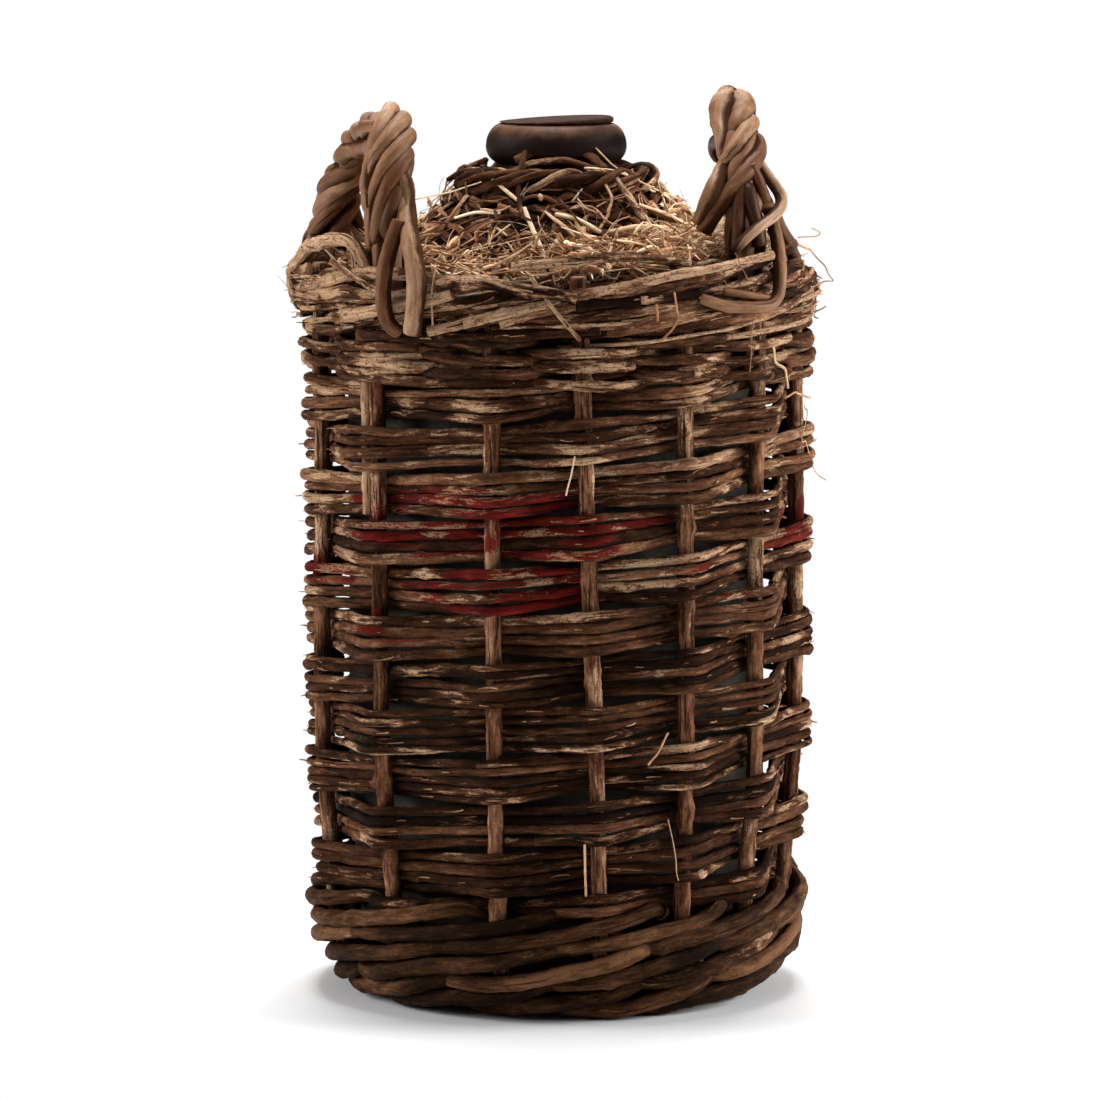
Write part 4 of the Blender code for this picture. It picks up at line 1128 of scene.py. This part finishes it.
def drawn_strand(bundle, line, legs, pixels, sizes, tone, tucks, leg):
    """A strand laid where the picture shows it, over the rope round a handle's line."""
    middle = legs[leg]
    free = [len(pixel) == 3 for pixel in pixels]
    points = [seen(pixel[:2], pixel[2] * MM) if loose else seen_on_tube(pixel, middle, DRAWN_ORBIT)
              for pixel, loose in zip(pixels, free)]
    if tucks[0]:
        points.insert(0, nearest(points[0][None], middle)[0])
    if tucks[1]:
        points.append(nearest(points[-1][None], middle)[0])
    path = jolt(soften(np.array(points), 3.2 * MM, 1.7 * MM), bundle.dice, 24 * MM, 0.25 * MM)
    away = None if sum(free) > len(free) / 2 else path - nearest(path, line)
    radii = np.interp(np.linspace(0, 1, len(path)), np.linspace(0, 1, len(sizes)), sizes) * MM
    radii = radii * 0.96 * (1 + wander(bundle.dice, lengths(path), 30 * MM, 0.04))
    bundle.rod(path, radii, 20, tone=tone, peel=0.34, patch=0.14, lumps=0.03, rough=0.006, knots=9,
               reference=away, blunt=max(sizes) < 5)


def make_handles():
    for side, handle in HANDLES.items():
        low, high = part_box("handle_bow_%s" % side)
        parts = handle_frame(handle, BORDER_HIGH, high.z - BOW_R)
        line = arch(handle, parts, np.linspace(0, 1, 160))[0]
        feet = [[at(RING, bow_deg(handle, end), low.z)] for end in (0, 1)]
        whole = resample(np.concatenate([feet[0], line, feet[1]]))
        bundle = Bundle("bow_%s" % side, handle["seeds"][0])
        bundle.rod(soften(whole, 3 * MM), BOW_R, tone=0.4)
        bundle.build(HANDLE_WOOD, "handle_bow_%s" % side)
        top = whole[:, 2].argmax()
        legs = {"front": whole[:top + 14], "rear": whole[top - 14:]}
        nodes = ["handle_%s_strand_%d" % (side, strand + 1) for strand in range(STRAND_COUNT)]
        bundles = []
        for strand, node in enumerate(nodes):
            rope = rope_line(handle, parts, strand)
            foot = at(RING, bow_deg(handle, 0), BORDER_HIGH)
            start = [foot + (rope[0] - foot) * (0.7, 0.7, 0.0) - 12 * MM * UP]
            path = np.concatenate([start, rope, strand_leg(rope[-1], handle)])
            path[:, 2] = np.maximum(path[:, 2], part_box(node)[0].z)
            bundle = Bundle("rope_%s_strand_%d" % (side, strand + 1), handle["seeds"][1] + strand)
            bundles.append(bundle)
            path = jolt(soften(path, 4 * MM), bundle.dice, 34 * MM, 0.4 * MM)
            radius = 4.2 * MM * (1 + wander(bundle.dice, lengths(path), 40 * MM, 0.05))
            bundle.rod(path, radius, 18, tone=bundle.dice.uniform(0.36, 0.56), peel=0.3, patch=0.12,
                       lumps=0.035, rough=0.006, knots=6, reference=path - nearest(path, whole))
        for k, drawn in enumerate(DRAWN[side]):
            drawn_strand(bundles[k % STRAND_COUNT], whole, legs, *drawn)
        for bundle, node in zip(bundles, nodes):
            bundle.build(HANDLE_WOOD, node)


def strand_leg(start, handle):
    """How a strand goes on down from the arch behind: outside the border, or inside it."""
    foot_deg = bow_deg(handle, 1)
    side = math.copysign(1, (degrees_of(start) - foot_deg + 180.0) % 360.0 - 180.0)
    border = STAKE_R + BORDER_THICK + 2 * GAP
    if math.hypot(start[0], start[1]) > RING:
        radius = RING + border + 2.4 * MM
        angle = foot_deg + handle["swing"] + side * HOOK_SPREAD_DEG
        bottom = BORDER_LOW + 1.2 * MM
    else:
        radius = RING - border - 5.0 * MM
        angle = foot_deg + side * math.degrees(4.7 * MM / radius)
        bottom = BORDER_HIGH - 16 * MM
    return at(radius, angle, (BORDER_HIGH + 2.2 * MM, bottom))


def make_side_stake():
    bundle = Bundle("side_rod", 560)
    low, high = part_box("side_stake")
    heights = np.linspace(low.z, high.z, 12)
    angles = np.array([stake_deg(1, z) for z in heights]) - COMPANION_DEG
    path = soften(at(stake_radius(heights), angles, heights), 4 * MM)
    bundle.rod(path, BOW_R * 1.05, 12, tone=0.62, peel=0.3, lumps=0.03)
    bundle.build(HANDLE_WOOD, "side_stake")


def arc(centre, radius, start, end, steps):
    turns = np.radians(np.linspace(start, end, steps + 1))
    return [(centre[0] + radius * math.cos(t), centre[1] + radius * math.sin(t)) for t in turns]


def lathe(name, outline, sides, wobble, coat, body, node):
    """A turned piece with a slightly uneven, hand-thrown round."""
    points = []
    for radius, height in outline:
        for turn in 360.0 * np.arange(sides) / sides:
            uneven = 1 + wobble * math.sin(math.radians(2 * turn) + height * 40)
            uneven += wobble * 0.6 * math.sin(math.radians(5 * turn + 40) - height * 90)
            points.append(tuple(at(radius * uneven, turn, height)))
    here, faces = tube_faces(0, len(outline), sides)
    mesh = bpy.data.meshes.new(name)
    mesh.from_pydata(points, [], faces + [here[0][::-1], here[-1]])
    add_piece(mesh, coat, body, [node])
    return mesh


def make_jar():
    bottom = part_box("stoneware_jar")[0].z
    corner = FOOT_HEIGHT - bottom
    shoulder = (JAR_R - JAR_BEND, JAR_WALL_TOP)
    foot = (FOOT_RADIUS, FOOT_HEIGHT)
    lean_height = FOOT_TOP + (JAR_R - FOOT_RADIUS - corner * math.cos(LEAN)) / math.tan(LEAN)
    lip_bottom = LIP_TOP - LIP_HEIGHT
    lip_middle = lip_bottom + LIP_LOWER
    neck_root = CONE_SUM - NECK_R
    lip_r = NECK_R + LIP_ROLL
    outline = [(5 * MM, bottom)]
    outline += arc(foot, corner, -90, -math.degrees(LEAN), 8)
    outline += [(JAR_R, lean_height), (JAR_R, (lean_height + JAR_WALL_TOP) / 2)]
    outline += arc(shoulder, JAR_BEND, 0, 45, 12)
    outline += [(NECK_R + 1.5 * MM, neck_root - 1.5 * MM), (NECK_R, neck_root + MM)]
    outline += [(NECK_R, lip_bottom - 0.5 * MM)]
    outline += arc((lip_r - LIP_BEND, lip_middle), LIP_BEND, -72, 0, 9)
    for turn in np.radians(np.linspace(10, 90, 10)):
        outline.append((lip_r - LIP_BEND * (1 - math.cos(turn)), lip_middle + LIP_CROWN * math.sin(turn)))
    outline += [(MOUTH_R, LIP_TOP - 0.8 * MM)]
    outline += [(THROAT_R, CONE_SUM - JAR_WALL * math.sqrt(2) - THROAT_R)]
    outline += arc(shoulder, JAR_BEND - JAR_WALL, 45, 0, 10)
    outline += [(JAR_R - JAR_WALL, lean_height)]
    outline += arc(foot, corner - JAR_WALL, -math.degrees(LEAN), -90, 6)
    outline += [(5 * MM, bottom + JAR_WALL)]
    lathe("glazed_jar", outline, 96, 0.003, GLAZE, "flagon", "stoneware_jar")


def make_bung():
    """The cork, whose top slants and has sunk a little."""
    low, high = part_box("cork_bung")
    head, top = high.x, high.z
    seat = LIP_TOP + GAP
    outline = [(2 * MM, low.z), (THROAT_R - 1.5 * MM, low.z), (THROAT_R - 0.6 * MM, low.z + MM)]
    outline += [(THROAT_R - 0.6 * MM, low.z + 6 * MM), (MOUTH_R - 0.7 * MM, LIP_TOP), (head, seat)]
    outline += [(head + 0.2 * MM, seat + 0.5 * MM), (head, top - 0.5 * MM), (head - 1.2 * MM, top)]
    outline += [(head * 0.6, top + 0.1 * MM), (head * 0.3, top - 0.1 * MM), (2 * MM, top)]
    for vertex in lathe("bung", outline, 64, 0.006, CORK, "bung", "cork_bung").vertices:
        if vertex.co.z > seat + 0.3 * MM:
            share = min((vertex.co.z - seat) / (top - seat), 1)
            vertex.co.z += share * (BUNG_SLANT * vertex.co.x / head - 0.6 * MM)


def cone_place(radius, off):
    """Height of a point over the shoulder, at a distance from the axis, off the jar's surface."""
    centre = JAR_R - JAR_BEND
    bend = JAR_BEND + off
    flat = np.sqrt(np.maximum(bend ** 2 - np.clip(radius - centre, 0, bend) ** 2, 0))
    slope = JAR_WALL_TOP + 2 * bend * math.sin(SHOULDER_SLOPE) + centre - radius
    return np.where(radius > centre + bend * math.cos(SHOULDER_SLOPE), JAR_WALL_TOP + flat, slope)


def on_shoulder(radius, degrees, off):
    """Points over the shoulder, at distances off the jar, and the direction straight off it."""
    return at(radius, degrees, cone_place(radius, off)), unit(at(1.0, degrees, 0.0) + UP)


def make_cover():
    """Dark twigs and strips woven round the shoulder over ribs, from the straw to the collar."""
    bundles = [Bundle("shoulder_twigs_%d" % (k + 1), 600 + k) for k in range(COVER_NODES)]
    for row in range(COVER_ROWS):
        bundle = bundles[row * COVER_NODES // COVER_ROWS]
        dice = bundle.dice
        start = dice.uniform(0, 360)
        end = start + 366
        while start < end:
            span = dice.uniform(35, 125)
            angles = np.arange(start, start + span, 2.0)
            base = COVER_OUTER + (COVER_INNER - COVER_OUTER) * (row + 0.5) / COVER_ROWS
            base += dice.uniform(-1.6, 1.6) * MM
            tilt = dice.uniform(-4.0, 4.0) * MM
            radius = base + tilt * np.linspace(-1, 1, len(angles))
            radius = radius + wander(dice, np.radians(angles) * base, 16 * MM, 0.8 * MM)
            wave = np.sin(np.radians(angles) * COVER_RIBS / 2 + row * math.pi)
            last = len(angles) - 1
            ends = np.interp(np.arange(len(angles)), (0, 4, last - 4, last), (-1, 1, 1, -1))
            off = COVER_OFF + COVER_WEAVE * wave + 0.8 * MM * ends
            path = soften(on_shoulder(radius, angles, off)[0], 2.2 * MM)
            path = jolt(path, dice, 19 * MM, 0.75 * MM)
            strip = dice.random() < 0.28
            thick = dice.uniform(1.7, 2.9) * MM if strip else dice.uniform(0.9, 2.1) * MM
            radii = thick * (1 + wander(dice, lengths(path), 22 * MM, 0.16))
            radii = radii * np.interp(np.linspace(0, 1, len(path)), (0, 0.06, 0.9, 1), (0.7, 1, 0.9, 0.5))
            tone = dice.choice((0.28, 0.46, 0.64)) + dice.uniform(-0.09, 0.09)
            bundle.rod(path, radii, 9, tone=tone, peel=dice.uniform(0.25, 0.58), patch=0.2,
                       flat=0.34 if strip else dice.uniform(0.7, 1), lumps=0.09, rough=0.06, knots=16,
                       reference=outwards(path) + UP)
            start += span * dice.uniform(0.82, 1.0)
    for rib in range(COVER_RIBS):
        bundle = bundles[rib % COVER_NODES]
        dice = bundle.dice
        radii = np.linspace(COVER_OUTER + 2 * MM, COVER_INNER - 4 * MM, 14)
        angles = 360.0 * rib / COVER_RIBS + np.linspace(0, dice.uniform(-9, 9), 14) + dice.uniform(-3, 3)
        path, normal = on_shoulder(radii, angles, 4.6 * MM)
        bundle.rod(jolt(soften(path, 3 * MM), dice, 18 * MM, 0.6 * MM), dice.uniform(1.2, 2.1) * MM, 8,
                   tone=dice.uniform(0.3, 0.6), peel=0.35, lumps=0.08, reference=normal[0])
    for pixels, off, thick, tone, flat in SHOULDER_TWIGS:
        over_shoulder(bundles[-1], pixels, off * MM, thick * MM, 9, tone=tone, peel=0.45, flat=flat,
                      lumps=0.08, knots=20)
    for k, bundle in enumerate(bundles):
        bundle.build(TWIG_BARK, "shoulder_row_%d" % (k + 1))


def over_shoulder(bundle, pixels, off, thick, sides, **looks):
    """A twig or straw laid where the picture shows one, at a distance off the shoulder."""
    reach = JAR_WALL_TOP + 2 * (JAR_BEND + off) * math.sin(SHOULDER_SLOPE) + JAR_R - JAR_BEND
    path = np.array([seen(pixel, reach - BORDER_HIGH, 1.0) for pixel in pixels])
    path = soften(path, 2.0 * MM, 1.6 * MM)
    bundle.rod(path, thick, sides, reference=outwards(path[len(path) // 2]) + UP, blunt=False, **looks)


# Twigs and straws that stand out in the picture: places in it, distance off the jar and half
# thickness in millimetres, tone and flatness
SHOULDER_TWIGS = (
    (((526, 151), (521, 168), (519, 186), (521, 218)), 9.5, 1.6, 0.30, 0.9),
    (((613, 176), (627, 196), (643, 220)), 10.0, 2.2, 0.55, 0.9),
    (((467, 196), (455, 212), (441, 230)), 9.5, 1.7, 0.70, 0.5),
    (((489, 244), (490, 234), (493, 222), (503, 216), (518, 216), (531, 221)), 10.0, 0.9, 0.45, 1.0),
    (((517, 160), (532, 151), (560, 146), (586, 152), (604, 168)), 9.0, 2.6, 0.62, 0.4),
    (((505, 176), (530, 163), (566, 160), (596, 170)), 9.0, 2.0, 0.45, 0.6),
    (((561, 186), (588, 196), (606, 214)), 9.0, 1.3, 0.35, 0.8),
    (((448, 180), (470, 166), (486, 160)), 9.0, 1.7, 0.40, 0.8),
)
SHOULDER_STRAWS = (
    (((492, 178), (505, 190), (517, 200)), 10.0, 1.0),
    (((524, 208), (534, 233), (545, 256)), 10.0, 1.2),
    (((529, 262), (538, 275), (548, 288)), 12.0, 1.1),
    (((593, 145), (613, 166), (637, 180), (657, 190), (681, 200)), 11.0, 0.7),
    (((585, 168), (603, 180), (613, 198), (608, 212)), 11.0, 0.8),
    (((587, 168), (613, 170), (639, 180)), 11.5, 0.7),
    (((416, 199), (451, 192), (481, 182)), 11.0, 0.5),
    (((583, 228), (584, 240), (586, 252)), 13.0, 1.5),
    (((654, 238), (652, 247), (650, 256)), 13.0, 1.5),
    (((640, 205), (668, 214), (700, 232)), 11.0, 1.1),
    (((556, 214), (578, 219), (600, 232)), 11.0, 1.3),
    (((455, 218), (475, 212), (500, 213)), 10.5, 1.0),
    (((610, 232), (640, 226), (676, 229)), 12.0, 1.6),
    (((660, 262), (684, 250), (706, 246)), 13.0, 1.8),
    (((556, 262), (590, 268), (622, 262)), 13.0, 1.5),
    (((470, 262), (500, 256), (522, 262)), 12.5, 1.3),
)
# Straws on the wall and among the right handle's feet: places in the picture, distance off the
# rods' face and half thickness in millimetres
WALL_STRAWS = (
    (((434, 264), (431, 290), (434, 320)), 4.5, 0.9),
    (((673, 292), (678, 320), (661, 340)), 5.0, 0.9),
    (((655, 304), (656, 312), (657, 320)), 5.0, 1.2),
    (((575, 455), (571, 476), (566, 497)), 0.6, 0.7),
    (((667, 735), (658, 750), (649, 768)), 0.6, 0.9),
    (((585, 845), (585, 870), (586, 895)), 0.8, 1.0),
    (((668, 820), (674, 850), (680, 880)), 0.6, 0.4),
    (((735, 255), (760, 300), (750, 370)), 4.5, 0.4),
    (((792, 240), (811, 252), (827, 265), (836, 281), (818, 284), (815, 296), (817, 309), (827, 302)),
     -6.0, 0.9),
    (((803, 240), (817, 236), (820, 231), (811, 227)), -6.0, 0.8),
    (((772, 345), (783, 372), (784, 393)), 0.8, 1.3),
    (((783, 394), (795, 394), (807, 396)), 0.6, 0.9),
    (((808, 400), (803, 440), (815, 470), (826, 482)), -1.0, 0.6),
)


def make_collar():
    """The roll round the neck: a few uneven rods twisted loosely together."""
    low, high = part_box("neck_collar")
    middle = (low.z + high.z) / 2
    thick = (high.z - low.z) / 2
    centre = high.x - thick
    bundle = Bundle("collar_roll", 650)
    dice = bundle.dice
    for strand in range(COLLAR_RODS):
        angles = np.arange(0, 372, 1.5) + 360.0 * strand / COLLAR_RODS
        turn = np.radians(angles * 4) + TAU * strand / COLLAR_RODS
        turn = turn + 0.5 * np.sin(np.radians(3 * angles) + dice.uniform(0, TAU))
        size = dice.uniform(1.6, 3.0) * MM
        orbit = thick - size * dice.uniform(0.7, 1.0)
        path = at(centre + orbit * np.cos(turn), angles, middle + orbit * np.sin(turn))
        path = jolt(soften(path, 1.5 * MM), dice, 17 * MM, 0.6 * MM)
        bundle.rod(path, size * (1 + wander(dice, lengths(path), 20 * MM, 0.12)), 9,
                   tone=dice.uniform(0.2, 0.6), peel=0.35, lumps=0.08, knots=14)
    bundle.build(TWIG_BARK, "neck_collar")


def sin_deg(degrees):
    return math.sin(math.radians(degrees))


def straw_blade(bundle, middle, heading, length, width, bend, tone):
    """One shred of straw through a point: straight, or with a kink or two."""
    dice = bundle.dice
    heading = unit(np.asarray(heading, float))
    side = unit(np.cross(heading, dice.normal(0, 1, 3)))
    corners = [np.zeros(3)]
    ahead = heading
    kinks = int(dice.integers(0, 3)) if length > 16 * MM else 0
    for part in range(kinks + 1):
        corners.append(corners[-1] + ahead * length / (kinks + 1))
        ahead = unit(heading + bend * 2.2 * dice.normal(0, 1, 3) * (1, 1, 0.4))
    corners = np.array(corners)
    path = middle + corners - corners.mean(0)
    path = soften(path, 1.6 * MM, 2.4 * MM) if kinks else resample(path, 3 * MM)
    share = np.linspace(-0.5, 0.5, len(path))
    curl = bend * length * (0.7 * (share ** 2 - 0.08) + 0.12 * np.sin(share * dice.uniform(4, 12)))
    path = path + side * curl[:, None]
    taper = np.interp(share, (-0.5, -0.4, 0.3, 0.5), (0.75, 1, 1, 0.45))
    bundle.rod(path, width / 2 * taper, 5, tone=tone, flat=dice.uniform(0.16, 0.5), lumps=0.06,
               rough=0.05, reference=0.7 * side + 0.7 * UP, blunt=False)


def straw_sizes(dice):
    """Length, width and bend of one shred: a few long ones among many short ones."""
    kind = dice.random()
    if kind < 0.30:
        return dice.uniform(3, 10) * MM, dice.uniform(0.8, 3.2) * MM, 0.15
    if kind < 0.50:
        return dice.uniform(8, 24) * MM, dice.uniform(1.4, 3.8) * MM, dice.uniform(0.08, 0.30)
    if kind < 0.70:
        return dice.uniform(20, 60) * MM, dice.uniform(0.6, 1.6) * MM, dice.uniform(0.05, 0.28)
    return dice.uniform(10, 36) * MM, dice.uniform(0.25, 0.7) * MM, dice.uniform(0.25, 0.6)


def make_packing():
    """Straw stuffed between the shoulder and the rim, and blown over the twigs."""
    bundles = [Bundle("straw_stuffing", 700), Bundle("straw_topping", 702)]
    for k in range(PACKING_STRAWS):
        bundle = bundles[k % 2]
        dice = bundle.dice
        degrees = dice.uniform(-180, 180)
        radius = math.sqrt(dice.uniform(PACKING_INNER, PACKING_OUTER) ** 2 + dice.uniform(0, 20 * MM) ** 2)
        radius = min(radius, PACKING_OUTER)
        low = cone_place(radius, 2 * MM)
        heap = 5 * MM * math.cos(math.radians(degrees - 70)) + 2 * MM * sin_deg(degrees * 3)
        top = PACKING_TOP + heap - 0.42 * (radius - 70 * MM)
        depth = min(dice.exponential(2.6) * MM, 18 * MM)
        height = max(top - depth, float(low) + MM)
        middle = at(radius, degrees, height)
        spin = dice.uniform(0, TAU)
        tangent = at(1.0, degrees + 90, 0.0)
        outward = at(1.0, degrees, 0.0)
        length, width, bend = straw_sizes(dice)
        # Painted light: shreds towards the right, the +X side, get a paler tone and those on the left a
        # darker one
        pale = 0.10 * sin_deg(degrees)
        heading = tangent * math.cos(spin) + outward * math.sin(spin) * 0.8
        heading = heading + dice.normal(0, 0.9 if length < 14 * MM else 0.34) * UP
        length = min(length, 30 * MM) if abs(math.sin(spin)) > 0.5 else length
        straw_blade(bundle, middle, heading, length, width, bend, dice.beta(1.4, 1.15) + pale)
    bundles[0].build(STRAW, "straw_packing")
    bundles[1].build(STRAW)


def make_loose_straw():
    """Shreds that lie on the shoulder's twigs, thickest low down and on the right."""
    bundle = Bundle("loose_straw", 720)
    dice = bundle.dice
    made = 0
    while made < LOOSE_STRAWS:
        degrees = dice.uniform(-180, 180)
        radius = dice.uniform(LOOSE_INNER, LOOSE_OUTER)
        density = 0.08 + 0.92 * ((radius - LOOSE_INNER) / (LOOSE_OUTER - LOOSE_INNER)) ** 2
        density *= 0.62 + 0.38 * math.cos(math.radians(degrees - 62))
        if dice.random() > density:
            continue
        made += 1
        length, width, bend = straw_sizes(dice)
        middle, normal = on_shoulder(radius, degrees, dice.uniform(8.2, 10.8) * MM)
        downward = unit(at(1.0, degrees, 0.0) - UP)
        spin = dice.uniform(0, TAU)
        heading = at(1.0, degrees + 90, 0.0) * math.cos(spin) + downward * math.sin(spin)
        heading = heading + normal * dice.normal(0, 0.45 if length < 12 * MM else 0.12)
        # Painted light: shreds towards the right, the +X side, get a paler tone and those on the left a
        # darker one
        pale = 0.10 * sin_deg(degrees)
        straw_blade(bundle, middle, heading, min(length, 40 * MM), width, bend, dice.beta(1.2, 1.5) + pale)
    for pixels, off, thick in SHOULDER_STRAWS:
        over_shoulder(bundle, pixels, off * MM, thick * MM, 6, tone=dice.uniform(0.55, 0.95), flat=0.45)
    for pixels, off, thick in WALL_STRAWS:
        face = STAKE_R + 2 * SLEW_R + off * MM
        heights = [seen(pixel, RING + face)[2] for pixel in pixels]
        points = [seen(pixel, stake_radius(z) + face) for pixel, z in zip(pixels, heights)]
        path = jolt(soften(np.array(points), 1.5 * MM, 1.5 * MM), dice, 9 * MM, 1.1 * MM)
        bundle.rod(path, thick * 0.6 * MM, 6, tone=dice.uniform(0.3, 0.75), flat=0.6, blunt=False)
    bundle.build(STRAW)


def make_bed():
    """Matted straw under the jar, seen through the middle of the base."""
    low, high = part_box("straw_bed")
    bundle = Bundle("straw_bedding", 740)
    dice = bundle.dice
    for blade in range(BED_STRAWS):
        radius = high.x * math.sqrt(dice.random()) * 0.93
        middle = at(radius, dice.uniform(-180, 180), dice.uniform(low.z + MM, high.z - MM))
        spin = dice.uniform(0, TAU)
        heading = np.array((math.cos(spin), math.sin(spin), dice.normal(0, 0.04)))
        straw_blade(bundle, middle, heading, dice.uniform(14, 34) * MM, dice.uniform(1.0, 3.0) * MM,
                    dice.uniform(0, 0.15), dice.uniform(0.2, 0.8))
    bundle.build(STRAW, "straw_bed")


def make_base():
    """Sticks laid as a star, and thin rods woven round them."""
    low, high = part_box("base_sticks")
    middle = (low.z + high.z) / 2
    sticks = Bundle("base_star", 760)
    for arm in range(BASE_ARMS):
        path = at(np.linspace(3 * MM, high.x * 0.99, 20), 360.0 * (arm + 0.5) / BASE_ARMS, middle)
        sticks.rod(resample(path), 3.1 * MM, 9, tone=0.5, peel=0.4, reference=UP)
    sticks.build(STAKE_WOOD, "base_sticks")
    weave = Bundle("base_weaving", 762)
    radius = BASE_INNER
    row = 0
    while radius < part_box("base_weave")[1].x - 2 * MM:
        angles = np.arange(0, 366, 3.0) + weave.dice.uniform(0, 360)
        wave = np.cos(np.radians(angles) * BASE_ARMS / 2 + row * math.pi)
        path = soften(at(radius, angles, middle + 2.9 * MM * wave), 1.5 * MM)
        weave.rod(path, 2.3 * MM, 8, tone=weave.dice.uniform(0.35, 0.6), peel=weave.dice.uniform(0.3, 0.5))
        radius += BASE_ROW
        row += 1
    weave.build(BARK, "base_weave")


def show_either(tree, share, first, second, output):
    """Let a surface show one shader or, by a share, another."""
    blend = tree.nodes.new("ShaderNodeMixShader")
    for place, socket in enumerate((share, first.outputs[0], second.outputs[0])):
        tree.links.new(socket, blend.inputs[place])
    tree.links.new(blend.outputs[0], tree.nodes[output].inputs["Surface"])


def make_floor():
    """A pale floor that fades to white away from the flagon, where the camera sees it."""
    half = 4.0
    mesh = bpy.data.meshes.new("floor")
    corners = [(-half, -half, 0), (half, -half, 0), (half, half, 0), (-half, half, 0)]
    mesh.from_pydata(corners, [], [(0, 1, 2, 3)])
    board = Board("pale_floor", 0.9)
    board.give("Base Color", (0.86, 0.86, 0.86, 1.0))
    away = board.put("VectorMath", board.stretch(board.place(), 0.0))
    away.operation = "LENGTH"
    far = board.step(away.outputs["Value"], 0.12, 0.34)
    rays = board.put("LightPath").outputs
    shown = board.sum("MAXIMUM", rays["Is Camera Ray"], rays["Is Glossy Ray"])
    shown = board.sum("MAXIMUM", shown, rays["Is Transmission Ray"])
    glow = board.put("Emission", Color=(1.0, 1.0, 1.0, 1.0), Strength=1.0)
    show_either(board.tree, board.times(far, shown), board.shader, glow, "Material Output")
    mesh.materials.append(board.material)
    floor = add_object("floor", mesh)


def make_world():
    """Soft light from all round, before a background that the camera sees as white."""
    world = bpy.data.worlds.new("studio")
    bpy.context.scene.world = world
    world.use_nodes = True
    nodes = world.node_tree.nodes
    soft = nodes["Background"]
    white = nodes.new("ShaderNodeBackground")
    for shader, strength in ((soft, 0.10), (white, 1.0)):
        shader.inputs["Color"].default_value = (1.0, 1.0, 1.0, 1.0)
        shader.inputs["Strength"].default_value = strength
    rays = nodes.new("ShaderNodeLightPath").outputs
    show_either(world.node_tree, rays["Is Camera Ray"], soft, white, "World Output")


def make_lamps():
    for name, place, size, power in LAMPS:
        data = bpy.data.lights.new(name, "AREA")
        data.size = size
        data.energy = power
        lamp = add_object(name, data)
        lamp.location = place
        lamp.rotation_euler = facing(place, LAMP_AIM).to_euler()


def make_camera():
    data = bpy.data.cameras.new("photo_view")
    data.sensor_width = SENSOR
    data.lens = LENS
    camera = add_object("photo_view", data)
    camera.location = CAMERA
    camera.rotation_euler = facing(CAMERA, CAMERA_AIM).to_euler()
    bpy.context.scene.camera = camera


make_camera()
make_world()
make_floor()
make_lamps()
bpy.context.scene.view_settings.view_transform = "Standard"
make_jar()
make_bung()
make_base()
make_bed()
make_stakes()
make_wale()
make_slews()
make_border()
make_side_stake()
make_cover()
make_collar()
make_packing()
make_loose_straw()
make_handles()
SHREDS.build(SHRED_WOOD)
